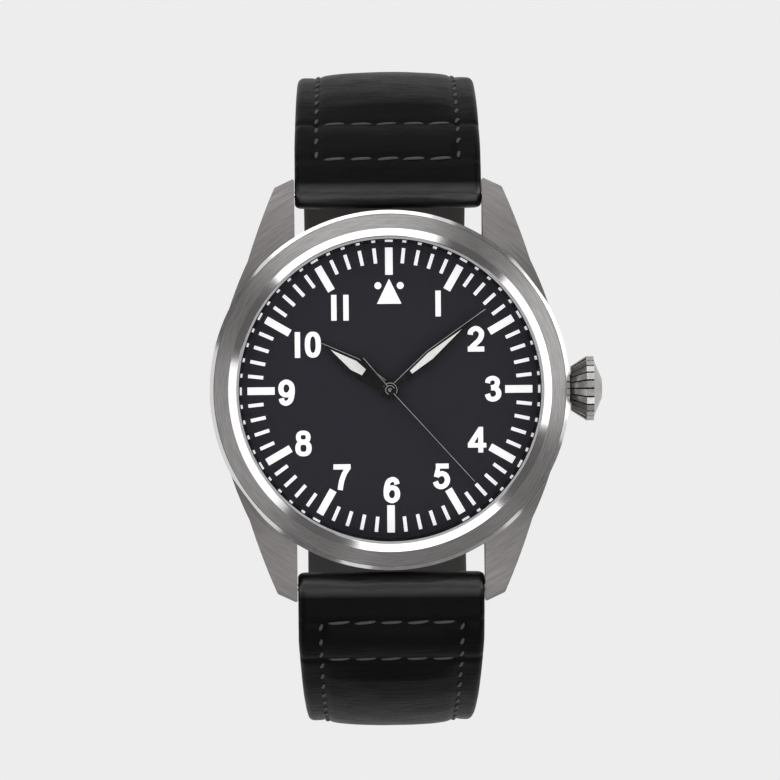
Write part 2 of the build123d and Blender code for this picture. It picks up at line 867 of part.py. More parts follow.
with BuildPart() as barrel_bridge:
    with BuildSketch(Plane.XY.offset(bridge_z)):
        bridge_outline(barrel_bridge_shares)
    extrude(amount=bridge_thickness)
    disc(crown_wheel_place, crown_post_radius, crown_post_z, bridge_z)
    disc(click_place, click_post_radius, winding_wheel_z, bridge_z)
    disc(barrel_place, barrel_arbor_radius + running_gap, bridge_z, plate_z, mode=Mode.SUBTRACT)
    with BuildSketch(across_stem(pinion_x - pocket_gap)):
        Circle(winding_pinion_radius + pocket_gap)
    extrude(amount=pinion_length + 2 * pocket_gap, mode=Mode.SUBTRACT)
    for share in barrel_screw_shares:
        disc(on_plate(share), screw_radius, bridge_z, plate_z, mode=Mode.SUBTRACT)
        disc(on_plate(share), screw_head_radius, bridge_z, bridge_z + screw_head_height, mode=Mode.SUBTRACT)
barrel_bridge.part.label = "barrel_bridge"
export_step(barrel_bridge.part, "parts/barrel_bridge.step")

with BuildPart() as train_bridge:
    with BuildSketch(Plane.XY.offset(bridge_z)):
        bridge_outline(train_bridge_shares)
    extrude(amount=bridge_thickness)
    for place in (centre_place, third_place, escape_place):
        disc(place, jewel_radius, bridge_z, plate_z, mode=Mode.SUBTRACT)
    with BuildSketch(across_stem(pinion_x - pocket_gap)):
        Circle(winding_pinion_radius + pocket_gap)
    extrude(amount=pinion_length + 2 * pocket_gap, mode=Mode.SUBTRACT)
    for share in train_screw_shares:
        disc(on_plate(share), screw_radius, bridge_z, plate_z, mode=Mode.SUBTRACT)
        disc(on_plate(share), screw_head_radius, bridge_z, bridge_z + screw_head_height, mode=Mode.SUBTRACT)
train_bridge.part.label = "train_bridge"
export_step(train_bridge.part, "parts/train_bridge.step")

balance_eye_radius = 1.6
balance_foot_radius = 1.4
stud_radius = 0.14
hairspring_radius = 1.9
hairspring_height = 0.08
stud_place = balance_place + polar(hairspring_radius, balance_angle - 90)

with BuildPart() as balance_cock:
    with BuildSketch(Plane.XY.offset(bridge_z)):
        with Locations(balance_place, stud_place):
            Circle(balance_eye_radius / 2 + stud_radius)
        with Locations(*[on_plate(share) for share in balance_cock_shares]):
            Circle(balance_foot_radius)
        make_hull()
        Circle(bridge_radius, mode=Mode.INTERSECT)
    extrude(amount=bridge_thickness)
    disc(balance_place, jewel_radius, bridge_z, plate_z, mode=Mode.SUBTRACT)
    disc(stud_place, stud_radius, bridge_z, plate_z, mode=Mode.SUBTRACT)
    disc(on_plate(balance_screw_share), screw_radius, bridge_z, plate_z, mode=Mode.SUBTRACT)
    disc(
        on_plate(balance_screw_share),
        screw_head_radius,
        bridge_z,
        bridge_z + screw_head_height,
        mode=Mode.SUBTRACT,
    )
balance_cock.part.label = "balance_cock"
export_step(balance_cock.part, "parts/balance_cock.step")

with BuildPart() as pallet_cock:
    with BuildSketch(Plane.XY.offset(cock_z)):
        with Locations(cock_foot, pallet_place):
            Circle(cock_half)
        make_hull()
        with Locations(cock_foot):
            Circle(screw_radius, mode=Mode.SUBTRACT)
        with Locations(pallet_place):
            Circle(jewel_radius, mode=Mode.SUBTRACT)
    extrude(amount=cock_thickness)
pallet_cock.part.label = "pallet_cock"
export_step(pallet_cock.part, "parts/pallet_cock.step")

with BuildPart() as bridge_screws:
    for place in bridge_screw_places:
        disc(place, screw_head_radius, bridge_z, bridge_z + screw_head_height)
        disc(place, screw_radius, bridge_z + screw_head_height, screw_end_z)
    disc(cock_foot, screw_head_radius, cock_z - screw_head_height, cock_z)
    disc(cock_foot, screw_radius, cock_z, cock_screw_end_z)
bridge_screws.part.label = "bridge_screws"
export_step(bridge_screws.part, "parts/bridge_screws.step")

with BuildPart() as jewels:
    for places, low in (
        ((centre_place, third_place, escape_place, balance_place), upper_jewel_z),
        ((third_place, escape_place, balance_place, pallet_place), lower_jewel_z),
        ((pallet_place,), cock_z),
    ):
        for place in places:
            disc(place, jewel_radius, low, low + jewel_thickness)
            disc(place, pivot_radius + running_gap / 2, low, low + jewel_thickness, mode=Mode.SUBTRACT)
jewels.part.label = "jewels"
export_step(jewels.part, "parts/jewels.step")

# Going train from the barrel to the escapement
wheel_hub_radius = 0.6
crossing_count = 4
crossing_inner_share = 0.35
crossing_outer_share = 0.78
crossing_gap_angle = 28


def cross_wheel(place, pitch_radius, low, turn):
    """Cuts the openings between a wheel's spokes."""
    inner = pitch_radius * crossing_inner_share
    outer = pitch_radius * crossing_outer_share
    span = 360 / crossing_count - crossing_gap_angle
    with BuildSketch(at(place, low).rotated((0, 0, turn))) as openings:
        with PolarLocations(0, crossing_count):
            with BuildLine() as opening:
                inner_start = polar(inner, -span / 2)
                inner_end = polar(inner, span / 2)
                outer_start = polar(outer, -span / 2)
                outer_end = polar(outer, span / 2)
                RadiusArc(inner_start, inner_end, -inner)
                Line(inner_end, outer_end)
                RadiusArc(outer_end, outer_start, outer)
                Line(outer_start, inner_start)
            make_face(opening.edges())
    extrude(openings.sketch, amount=wheel_thickness, mode=Mode.SUBTRACT)


barrel_floor = 0.2
barrel_rim_thickness = 0.25
barrel_wall_radius = 4.75
barrel_drum_radius = 5.05
core_radius = 0.95

with BuildPart() as barrel:
    disc(barrel_place, barrel_drum_radius, barrel_z, barrel_top)
    toothed_disc(
        barrel_place,
        barrel_teeth,
        barrel_radius,
        barrel_angle + 180,
        barrel_top - barrel_rim_thickness,
        barrel_top,
    )
    disc(barrel_place, barrel_wall_radius, barrel_z + barrel_floor, barrel_top, mode=Mode.SUBTRACT)
    disc(barrel_place, barrel_arbor_radius + running_gap, barrel_z, barrel_top, mode=Mode.SUBTRACT)
barrel.part.label = "barrel"
export_step(barrel.part, "parts/barrel.step")


def spiral_strip(inner_radius, outer_radius, turns, thickness):
    """Flat strip coiled in half turns, struck from two centres in turn."""
    shift = (outer_radius - inner_radius) / turns / 2
    with BuildLine() as strip:
        for outward in (-thickness / 2, thickness / 2):
            for turn in range(turns):
                radius = inner_radius + 2 * shift * turn + outward
                ThreePointArc((radius, 0), (0, radius), (-radius, 0))
                ThreePointArc((-radius, 0), (shift, -radius - shift), (radius + 2 * shift, 0))
        Line((inner_radius - thickness / 2, 0), (inner_radius + thickness / 2, 0))
        Line((outer_radius - thickness / 2, 0), (outer_radius + thickness / 2, 0))
    make_face(strip.edges())


mainspring_turns = 4
mainspring_thickness = 0.16
mainspring_z = barrel_z + barrel_floor + part_gap
mainspring_inner = core_radius + mainspring_thickness / 2
mainspring_outer = barrel_wall_radius - mainspring_thickness / 2 - part_gap

with BuildPart() as mainspring:
    with BuildSketch(at(barrel_place, mainspring_z)):
        spiral_strip(
            mainspring_inner + part_gap, mainspring_outer, mainspring_turns, mainspring_thickness
        )
    extrude(amount=barrel_top - part_gap - mainspring_z)
mainspring.part.label = "mainspring"
export_step(mainspring.part, "parts/mainspring.step")

with BuildPart() as barrel_arbor:
    disc(barrel_place, barrel_arbor_radius, crown_post_z, recess_floor - part_gap)
    disc(barrel_place, core_radius, mainspring_z, barrel_top - part_gap)
barrel_arbor.part.label = "barrel_arbor"
export_step(barrel_arbor.part, "parts/barrel_arbor.step")

centre_tube_bore = seconds_arbor_radius + running_gap
centre_pinion_radius = barrel_distance - barrel_radius

with BuildPart() as centre_wheel:
    toothed_disc(
        centre_place,
        centre_teeth,
        centre_radius,
        third_angle,
        centre_wheel_z,
        centre_wheel_z + wheel_thickness,
    )
    cross_wheel(centre_place, centre_radius, centre_wheel_z, third_angle)
    disc(centre_place, wheel_hub_radius, centre_wheel_z, barrel_top - barrel_rim_thickness)
    toothed_disc(
        centre_place,
        centre_pinion_teeth,
        centre_pinion_radius,
        facing_turn(barrel_angle, centre_pinion_teeth),
        barrel_top - barrel_rim_thickness - part_gap,
        barrel_top + part_gap,
    )
    disc(centre_place, centre_tube_radius, centre_wheel_z, minute_hand_z)
    disc(centre_place, centre_tube_bore, centre_wheel_z, minute_hand_z, mode=Mode.SUBTRACT)
centre_wheel.part.label = "centre_wheel"
export_step(centre_wheel.part, "parts/centre_wheel.step")

with BuildPart() as third_wheel:
    arbor(third_place, upper_jewel_z, lower_pivot_end)
    toothed_disc(
        third_place,
        third_teeth,
        third_radius,
        third_angle + 180,
        third_wheel_z,
        third_wheel_z + wheel_thickness,
    )
    cross_wheel(third_place, third_radius, third_wheel_z, third_angle)
    toothed_disc(
        third_place,
        third_pinion_teeth,
        third_distance - centre_radius,
        facing_turn(third_angle + 180, third_pinion_teeth),
        centre_wheel_z - part_gap,
        centre_wheel_z + wheel_thickness + part_gap,
    )
third_wheel.part.label = "third_wheel"
export_step(third_wheel.part, "parts/third_wheel.step")

with BuildPart() as fourth_wheel:
    disc(centre_place, seconds_arbor_radius, upper_jewel_z, seconds_hand_z + hand_thickness)
    toothed_disc(
        centre_place,
        fourth_pinion_teeth,
        third_distance - third_radius,
        facing_turn(third_angle, fourth_pinion_teeth),
        third_wheel_z - part_gap,
        third_wheel_z + wheel_thickness + part_gap,
    )
    disc(centre_place, wheel_hub_radius, fourth_wheel_z - part_gap, fourth_wheel_z + wheel_thickness)
    toothed_disc(
        centre_place,
        fourth_teeth,
        fourth_radius,
        escape_angle,
        fourth_wheel_z,
        fourth_wheel_z + wheel_thickness,
    )
    cross_wheel(centre_place, fourth_radius, fourth_wheel_z, escape_angle)
fourth_wheel.part.label = "fourth_wheel"
export_step(fourth_wheel.part, "parts/fourth_wheel.step")

escape_teeth = 20
escape_tip_radius = 2.0
escape_root_radius = 1.55
escape_tooth_shares = ((-0.42, 0), (0, 1), (0.1, 0))
pallet_span_teeth = 3.5

with BuildPart() as escape_wheel:
    arbor(escape_place, upper_jewel_z, lower_pivot_end)
    toothed_disc(
        escape_place,
        escape_pinion_teeth,
        escape_distance - fourth_radius,
        facing_turn(escape_angle + 180, escape_pinion_teeth),
        fourth_wheel_z - part_gap,
        fourth_wheel_z + wheel_thickness + part_gap,
    )
    with BuildSketch(at(escape_place, escape_wheel_z)):
        with BuildLine():
            tooth_corners = []
            for tooth in range(escape_teeth):
                for angle_share, height_share in escape_tooth_shares:
                    tooth_angle = pallet_angle + (tooth + 1 / 2 + angle_share) * 360 / escape_teeth
                    tooth_radius = escape_root_radius + height_share * (
                        escape_tip_radius - escape_root_radius
                    )
                    tooth_corners.append(polar(tooth_radius, tooth_angle))
            Polyline(*tooth_corners, close=True)
        make_face()
    extrude(amount=wheel_thickness)
    cross_wheel(escape_place, escape_root_radius, escape_wheel_z, 0)
escape_wheel.part.label = "escape_wheel"
export_step(escape_wheel.part, "parts/escape_wheel.step")

# Pallet fork, balance and hairspring
stone_radius = 0.13
pallet_arm_half = 0.12
fork_half = 0.32
fork_length = 0.5
fork_slot_half = 0.12
impulse_pin_radius = 0.08
impulse_distance = 0.72
stone_angle = 360 / escape_teeth * pallet_span_teeth / 2
stone_x = escape_tip_radius * cos(radians(stone_angle)) - pallet_distance
stone_y = escape_tip_radius * sin(radians(stone_angle))
fork_x = roller_distance - impulse_distance

with BuildPart() as pallet_fork:
    arbor(pallet_place, cock_z, lower_pivot_end)
    fork_direction = polar(1, balance_angle)
    fork_plane = Plane((pallet_place.X, pallet_place.Y, escape_wheel_z), x_dir=fork_direction)
    with BuildSketch(fork_plane):
        with Locations((fork_x / 2, 0)):
            Rectangle(fork_x, 2 * pallet_arm_half)
        for sign in (-1, 1):
            with BuildLine() as arm:
                Line((0, 0), (stone_x, sign * stone_y))
            with BuildLine() as arm_edge:
                offset(arm.line, amount=pallet_arm_half)
            make_face(arm_edge.edges())
        with Locations((stone_x, stone_y), (stone_x, -stone_y)):
            Circle(stone_radius)
        with Locations((fork_x, 0)):
            Rectangle(fork_length, 2 * fork_half)
        with Locations((fork_x + fork_length / 4, 0)):
            Rectangle(fork_length, 2 * fork_slot_half, mode=Mode.SUBTRACT)
    extrude(amount=wheel_thickness)
pallet_fork.part.label = "pallet_fork"
export_step(pallet_fork.part, "parts/pallet_fork.step")

balance_rim_width = 0.35
balance_height = 0.2
balance_arm_width = 0.4
roller_radius = 0.85
roller_thickness = 0.08
staff_radius = 0.18
roller_gap = 0.02
roller_z = cock_z + cock_thickness + roller_gap

with BuildPart() as balance_wheel:
    disc(balance_place, pivot_radius, upper_jewel_z, lower_pivot_end)
    disc(balance_place, staff_radius, plate_z + part_gap, lower_jewel_z - part_gap)
    with BuildSketch(at(balance_place, balance_z)):
        Circle(balance_radius)
        Circle(balance_radius - balance_rim_width, mode=Mode.SUBTRACT)
        Rectangle(2 * balance_radius - balance_rim_width, balance_arm_width, rotation=balance_angle)
        Circle(wheel_hub_radius)
    extrude(amount=balance_height)
    disc(balance_place, roller_radius, roller_z, roller_z + roller_thickness)
    impulse_place = balance_place + polar(impulse_distance, balance_angle + 180)
    disc(impulse_place, impulse_pin_radius, roller_z, escape_wheel_z + wheel_thickness)
balance_wheel.part.label = "balance_wheel"
export_step(balance_wheel.part, "parts/balance_wheel.step")

hairspring_turns = 4
hairspring_thickness = 0.06
hairspring_start = balance_angle - 90

with BuildPart() as hairspring:
    with BuildSketch(at(balance_place, hairspring_z).rotated((0, 0, hairspring_start))):
        spiral_strip(
            staff_radius + hairspring_thickness,
            hairspring_radius,
            hairspring_turns,
            hairspring_thickness,
        )
    extrude(amount=hairspring_height)
    disc(stud_place, stud_radius, bridge_z, hairspring_z + hairspring_height)
hairspring.part.label = "hairspring"
export_step(hairspring.part, "parts/hairspring.step")

# Motion work between the plate and the dial
with BuildPart() as cannon_pinion:
    toothed_disc(
        centre_place,
        cannon_teeth,
        cannon_pitch_radius,
        minute_angle,
        minute_wheel_z - part_gap,
        minute_wheel_z + wheel_thickness + part_gap,
    )
    disc(centre_place, cannon_radius, minute_wheel_z - part_gap, minute_hand_z + hand_thickness)
    disc(centre_place, centre_tube_radius, minute_wheel_z - part_gap, minute_hand_z, mode=Mode.SUBTRACT)
    disc(
        centre_place,
        centre_tube_bore,
        minute_hand_z,
        minute_hand_z + hand_thickness,
        mode=Mode.SUBTRACT,
    )
cannon_pinion.part.label = "cannon_pinion"
export_step(cannon_pinion.part, "parts/cannon_pinion.step")

with BuildPart() as minute_wheel:
    toothed_disc(
        minute_place,
        minute_wheel_teeth,
        minute_distance - cannon_pitch_radius,
        facing_turn(minute_angle + 180, minute_wheel_teeth),
        minute_wheel_z,
        minute_wheel_z + wheel_thickness,
    )
    toothed_disc(
        minute_place,
        minute_pinion_teeth,
        minute_distance - hour_wheel_radius,
        facing_turn(minute_angle + 180, minute_pinion_teeth),
        minute_wheel_z + wheel_thickness,
        hour_wheel_z + wheel_thickness + part_gap,
    )
    disc(
        minute_place,
        minute_post_radius + running_gap,
        minute_wheel_z,
        hour_wheel_z + wheel_thickness + part_gap,
        mode=Mode.SUBTRACT,
    )
minute_wheel.part.label = "minute_wheel"
export_step(minute_wheel.part, "parts/minute_wheel.step")

with BuildPart() as hour_wheel:
    toothed_disc(
        centre_place,
        hour_wheel_teeth,
        hour_wheel_radius,
        minute_angle,
        hour_wheel_z,
        hour_wheel_z + wheel_thickness,
    )
    disc(centre_place, hour_pipe_radius, hour_wheel_z, hour_hand_z + hand_thickness)
    disc(
        centre_place,
        cannon_radius + running_gap,
        hour_wheel_z,
        hour_hand_z + hand_thickness,
        mode=Mode.SUBTRACT,
    )
hour_wheel.part.label = "hour_wheel"
export_step(hour_wheel.part, "parts/hour_wheel.step")

# Winding work: pinion and clutch on the stem, crown wheel, ratchet wheel and click on the barrel bridge
clutch_groove_x = 0.7
clutch_groove_length = 0.5
clutch_groove_depth = 0.25
clutch_teeth = 12

with BuildPart() as winding_pinion:
    with BuildSketch(across_stem(pinion_x)):
        pinion_turn = winding_angle * crown_wheel_teeth / winding_pinion_teeth - 90
        toothed_outline(
            winding_pinion_teeth,
            winding_pinion_radius,
            facing_turn(pinion_turn, winding_pinion_teeth),
        )
        Circle(stem_pilot_radius, mode=Mode.SUBTRACT)
    extrude(amount=pinion_length)
winding_pinion.part.label = "winding_pinion"
export_step(winding_pinion.part, "parts/winding_pinion.step")

with BuildPart() as sliding_clutch:
    with BuildSketch(across_stem(clutch_x)):
        toothed_outline(clutch_teeth, clutch_radius - clutch_groove_depth / 2, 0)
    extrude(amount=clutch_groove_x)
    with BuildSketch(across_stem(clutch_x)):
        Circle(clutch_radius - clutch_groove_depth)
    extrude(amount=clutch_length)
    with BuildSketch(across_stem(clutch_x + clutch_groove_x + clutch_groove_length)):
        Circle(clutch_radius)
    extrude(amount=clutch_length - clutch_groove_x - clutch_groove_length)
    with BuildSketch(across_stem(clutch_x)):
        Circle(stem_pilot_radius)
    extrude(amount=clutch_length, mode=Mode.SUBTRACT)
sliding_clutch.part.label = "sliding_clutch"
export_step(sliding_clutch.part, "parts/sliding_clutch.step")

winding_wheel_top = winding_wheel_z + winding_wheel_thickness

with BuildPart() as crown_wheel:
    toothed_disc(
        crown_wheel_place,
        crown_wheel_teeth,
        crown_wheel_radius,
        winding_angle,
        winding_wheel_z,
        winding_wheel_top,
    )
    disc(
        crown_wheel_place,
        crown_post_radius + running_gap,
        winding_wheel_z,
        winding_wheel_top,
        mode=Mode.SUBTRACT,
    )
crown_wheel.part.label = "crown_wheel"
export_step(crown_wheel.part, "parts/crown_wheel.step")

with BuildPart() as ratchet_wheel:
    toothed_disc(
        barrel_place,
        ratchet_teeth,
        ratchet_radius,
        facing_turn(winding_angle + 180, ratchet_teeth),
        winding_wheel_z,
        winding_wheel_top,
    )
    disc(barrel_place, barrel_arbor_radius, winding_wheel_z, winding_wheel_top, mode=Mode.SUBTRACT)
ratchet_wheel.part.label = "ratchet_wheel"
export_step(ratchet_wheel.part, "parts/ratchet_wheel.step")

with BuildPart() as click:
    with BuildSketch(Plane.XY.offset(winding_wheel_z)):
        with Locations(click_place):
            Circle(click_radius)
        with Locations(nose_place):
            Circle(click_nose_radius)
        make_hull()
        with Locations(click_place):
            Circle(click_post_radius + running_gap, mode=Mode.SUBTRACT)
    extrude(amount=click_thickness)
click.part.label = "click"
export_step(click.part, "parts/click.step")

# Movement ring, casing clamps and their screws hold the movement in the case
ring_outer = case_bore - part_gap
ring_inner = movement_radius + part_gap
clamp_angles = (150, 330)
clamp_width = 2.6
clamp_grip = 1.05
clamp_seat = 1.1
clamp_inner = movement_radius - clamp_grip
clamp_outer = movement_radius + clamp_seat
clamp_thickness = 0.25
clamp_screw_reach = 0.55
clamp_screw_distance = movement_radius + clamp_screw_reach
clamp_screw_radius = 0.3
clamp_head_radius = 0.5
clamp_screw_length = 1.6

with BuildPart() as movement_ring:
    with BuildSketch(Plane.XY.offset(plate_z)):
        Circle(ring_outer)
        Circle(ring_inner, mode=Mode.SUBTRACT)
    extrude(amount=dial_z - plate_z)
    with BuildSketch(across_stem(ring_inner - overrun)):
        Circle(stem_radius + running_gap)
    extrude(amount=ring_outer, mode=Mode.SUBTRACT)
    for angle in clamp_angles:
        disc(
            polar(clamp_screw_distance, angle),
            clamp_screw_radius,
            plate_z,
            plate_z + clamp_screw_length,
            mode=Mode.SUBTRACT,
        )
movement_ring.part.label = "movement_ring"
export_step(movement_ring.part, "parts/movement_ring.step")

with BuildPart() as casing_clamps:
    with BuildSketch(Plane.XY.offset(plate_z - clamp_thickness)):
        for angle in clamp_angles:
            with Locations(Location(polar((clamp_inner + clamp_outer) / 2, angle), angle)):
                Rectangle(clamp_outer - clamp_inner, clamp_width)
        Circle(clamp_outer, mode=Mode.INTERSECT)
        with Locations(*[polar(clamp_screw_distance, angle) for angle in clamp_angles]):
            Circle(clamp_screw_radius, mode=Mode.SUBTRACT)
    extrude(amount=clamp_thickness)
casing_clamps.part.label = "casing_clamps"
export_step(casing_clamps.part, "parts/casing_clamps.step")

with BuildPart() as casing_screws:
    for angle in clamp_angles:
        place = polar(clamp_screw_distance, angle)
        clamp_face = plate_z - clamp_thickness
        disc(place, clamp_head_radius, clamp_face - screw_head_height, clamp_face)
        disc(place, clamp_screw_radius, clamp_face, plate_z + clamp_screw_length)
casing_screws.part.label = "casing_screws"
export_step(casing_screws.part, "parts/casing_screws.step")

# Spring bars: tubes with a fixed pin in the left lugs and a sprung pin in the right lugs
bar_radius = 0.75
bar_length_gap = 0.4
bar_pin_radius = bar_hole_radius - running_gap
bar_bore_length = 3.2
bar_pin_length = 2.1
bar_half_length = lug_inner_x - bar_length_gap
bar_pin_end = lug_inner_x + bar_hole_depth - part_gap


def across_strap(place, start):
    """Vertical plane across the strap at x = start, centred on a place given as (y, z)."""
    return Plane.YZ.offset(start) * Pos(place[0], place[1])


def rod(place, radius, start, end, mode=Mode.ADD):
    """Rod, pin or bore along X through a place given as (y, z)."""
    with BuildSketch(across_strap(place, start)) as section:
        round_section(radius)
    extrude(section.sketch, amount=end - start, mode=mode)


with BuildPart() as spring_bars:
    for bar_place in ((bar_y, bar_z), (-bar_y, bar_z)):
        rod(bar_place, bar_radius, -bar_half_length, bar_half_length)
        rod(bar_place, bar_pin_radius, -bar_pin_end, -bar_half_length)
        rod(
            bar_place,
            bar_hole_radius,
            bar_half_length - bar_bore_length,
            bar_half_length,
            mode=Mode.SUBTRACT,
        )
spring_bars.part.label = "spring_bars"
export_step(spring_bars.part, "parts/spring_bars.step")

with BuildPart() as upper_bar_tip:
    rod((bar_y, bar_z), bar_pin_radius, bar_half_length - bar_pin_length, bar_pin_end)
upper_bar_tip.part.label = "upper_bar_tip"
export_step(upper_bar_tip.part, "parts/upper_bar_tip.step")

with BuildPart() as lower_bar_tip:
    rod((-bar_y, bar_z), bar_pin_radius, bar_half_length - bar_pin_length, bar_pin_end)
lower_bar_tip.part.label = "lower_bar_tip"
export_step(lower_bar_tip.part, "parts/lower_bar_tip.step")

# Strap halves: the middle line of each runs from its spring bar round the wrist to the buckle
strap_drop = 44.4
upper_reach = 12.1
lower_reach = 14.05
roll_radius = 1.65
roll_bore = bar_radius + part_gap
buckle_bar_share = (-1.6, 1)
strap_shares = (
    (0.259, 0.036),
    (0.583, 0.137),
    (0.858, 0.277),
    (1, 0.448),
    (0.931, 0.628),
    (0.567, 0.806),
    (-0.113, 0.93),
    (-0.964, 0.991),
)
under_shares = ((0, 0.955), (-0.8, 1.011), (-1.295, 1.042), (-1.48, 1.0585))
tail_shares = (1, 0.95, 0.9, 0.8, 0.7, 0.66)
upper_thickness_shares = ((0, 1), (0.12, 0.9), (0.6, 0.85), (1, 0.82))
lower_thickness_shares = ((0, 1), (0.1, 0.9), (0.4, 0.82), (0.6, 0.73), (1, 0.73))
pad_shares = ((0.1, -0.5), (0.14, 0.4), (0.23, 0.9), (0.43, 1), (0.71, 1), (0.89, 0.8), (1, -0.5))
upper_pad_length = 0.62
lower_pad_length = 0.44
pad_height = 0.6
pad_root = 0.5
pad_inset = 3.05
pad_half_width = strap_width / 2 - pad_inset
tail_gap = 0.3
layer_stations = 20


def strap_point(side, reach, share):
    """Point (y, z) of a strap's middle line from its shares of the reach and of the drop."""
    return (side * (bar_y + share[0] * reach), bar_z - share[1] * strap_drop)


def share_value(shares, position):
    """Value at a position between the two nearest pairs of a table of shares."""
    for (start, start_value), (end, end_value) in zip(shares, shares[1:]):
        if position <= end:
            return start_value + (end_value - start_value) * (position - start) / (end - start)
    return shares[-1][1]


def beside(route, side, share, distance):
    """Point at a distance outward from a strap's middle line, at a share of its length."""
    tangent = route.tangent_at(share)
    outward = Vector(0, -side * tangent.Z, side * tangent.Y)
    return route.position_at(share) + outward * distance


def band_outline(route, side, near, far):
    """Outline of a band along a route, between two lists of distances outward from it."""
    ends = []
    with BuildLine() as outline:
        for distances in (near, far):
            points = [
                beside(route, side, station / (len(distances) - 1), distance)
                for station, distance in enumerate(distances)
            ]
            places = [(point.Y, point.Z) for point in points]
            for start, middle, end in zip(places[::2], places[1::2], places[2::2]):
                ThreePointArc(start, middle, end)
            ends.append((places[0], places[-1]))
        Line(ends[0][0], ends[1][0])
        Line(ends[0][1], ends[1][1])
    make_face(outline.edges())


def layer_outline(route, side, thickness_shares, direction):
    """Outline of one leather layer between the middle line and its outer or inner face."""
    face = [
        direction * roll_radius * share_value(thickness_shares, station / layer_stations)
        for station in range(layer_stations + 1)
    ]
    band_outline(route, side, [0] * (layer_stations + 1), face)


def trim_width(width_shares):
    """Trims a strap half to its width, which narrows from the lugs down to the buckle."""
    corners = [
        (width_share * strap_width / 2, bar_z - drop_share * strap_drop)
        for drop_share, width_share in width_shares
    ]
    with BuildSketch(Plane.XZ) as plan:
        with BuildLine() as outline:
            Polyline(*corners, *[(-x, z) for x, z in reversed(corners)], close=True)
        make_face(outline.edges())
    extrude(plan.sketch, amount=strap_drop, both=True, mode=Mode.INTERSECT)


def pad(route, side, thickness_shares, length_share):
    """Padded crown along the middle of a strap half's outer face."""
    sections = []
    for pad_share, height_share in pad_shares:
        share = pad_share * length_share
        thickness = roll_radius * share_value(thickness_shares, share)
        origin = beside(route, side, share, thickness - pad_root)
        with BuildSketch(
            Plane(origin, x_dir=(-side, 0, 0), z_dir=route.tangent_at(share))
        ) as section:
            with BuildLine() as outline:
                ThreePointArc(
                    (-pad_half_width, 0),
                    (0, pad_root + height_share * pad_height),
                    (pad_half_width, 0),
                )
                Line((pad_half_width, 0), (-pad_half_width, 0))
            make_face(outline.edges())
        sections.append(section.sketch)
    loft(sections)


upper_bar_point = (bar_y, bar_z)
lower_bar_point = (-bar_y, bar_z)
buckle_point = strap_point(1, upper_reach, buckle_bar_share)
with BuildLine(Plane.YZ) as upper_line:
    Spline(
        upper_bar_point,
        *[strap_point(1, upper_reach, share) for share in strap_shares],
        buckle_point,
    )
upper_route = upper_line.edges()[0]
upper_end_thickness = roll_radius * share_value(upper_thickness_shares, 1)
tail_thickness = roll_radius * share_value(lower_thickness_shares, 1)
tail_distance = upper_end_thickness + tail_gap + tail_thickness
tail_points = [beside(upper_route, 1, share, tail_distance) for share in tail_shares]
with BuildLine(Plane.YZ) as lower_line:
    Spline(
        lower_bar_point,
        *[strap_point(-1, lower_reach, share) for share in strap_shares[:6]],
        *[strap_point(-1, lower_reach, share) for share in under_shares],
        *[(point.Y, point.Z) for point in tail_points],
    )
lower_route = lower_line.edges()[0]
upper_width_shares = ((-0.1, 1), (0.065, 1), (1.1, 0.894))
lower_width_shares = ((-0.1, 1), (0.065, 1), (0.4, 0.911), (1.2, 0.894))
buckle_slot_half = 1.2
end_roll_radius = 1.4
hole_radius = 0.95
hole_pitch = 6.5
hole_steps = (-3, -2, -1, 0, 1, 2, 3)
used_hole_distance = 72.3
used_hole_radius = 1.1
used_hole_length = 2.4


def cut_holes():
    """Adjustment holes through the long half, the used one drawn out by the tongue."""
    for step in hole_steps:
        share = (used_hole_distance + step * hole_pitch) / lower_route.length
        tangent = lower_route.tangent_at(share)
        hole_plane = Plane(
            lower_route.position_at(share), x_dir=tangent, z_dir=(0, tangent.Z, -tangent.Y)
        )
        with BuildSketch(hole_plane) as hole:
            if step == 0:
                SlotOverall(used_hole_length + 2 * used_hole_radius, 2 * used_hole_radius)
            else:
                round_section(hole_radius)
        extrude(hole.sketch, amount=2 * tail_thickness, both=True, mode=Mode.SUBTRACT)


def cut_tongue_slot():
    """Slot in the short half's end, where the tongue turns on the buckle's bar."""
    with BuildSketch(Plane.YZ.offset(-buckle_slot_half)) as slot:
        with Locations(buckle_point):
            Circle(2 * end_roll_radius)
    extrude(slot.sketch, amount=2 * buckle_slot_half, mode=Mode.SUBTRACT)


with BuildPart() as upper_leather:
    with BuildSketch(Plane.YZ):
        layer_outline(upper_route, 1, upper_thickness_shares, 1)
        with Locations(upper_bar_point):
            Circle(roll_radius)
        with Locations(buckle_point):
            Circle(end_roll_radius)
            Circle(roll_bore, mode=Mode.SUBTRACT)
        with Locations(upper_bar_point):
            Circle(roll_bore, mode=Mode.SUBTRACT)
    extrude(amount=strap_width / 2, both=True)
    trim_width(upper_width_shares)
    cut_tongue_slot()
    pad(upper_route, 1, upper_thickness_shares, upper_pad_length)
upper_leather.part.label = "upper_leather"
export_step(upper_leather.part, "parts/upper_leather.step")

with BuildPart() as upper_lining:
    with BuildSketch(Plane.YZ):
        layer_outline(upper_route, 1, upper_thickness_shares, -1)
        with Locations(upper_bar_point):
            Circle(roll_radius, mode=Mode.SUBTRACT)
        with Locations(buckle_point):
            Circle(end_roll_radius, mode=Mode.SUBTRACT)
    extrude(amount=strap_width / 2, both=True)
    trim_width(upper_width_shares)
    cut_tongue_slot()
upper_lining.part.label = "upper_lining"
export_step(upper_lining.part, "parts/upper_lining.step")

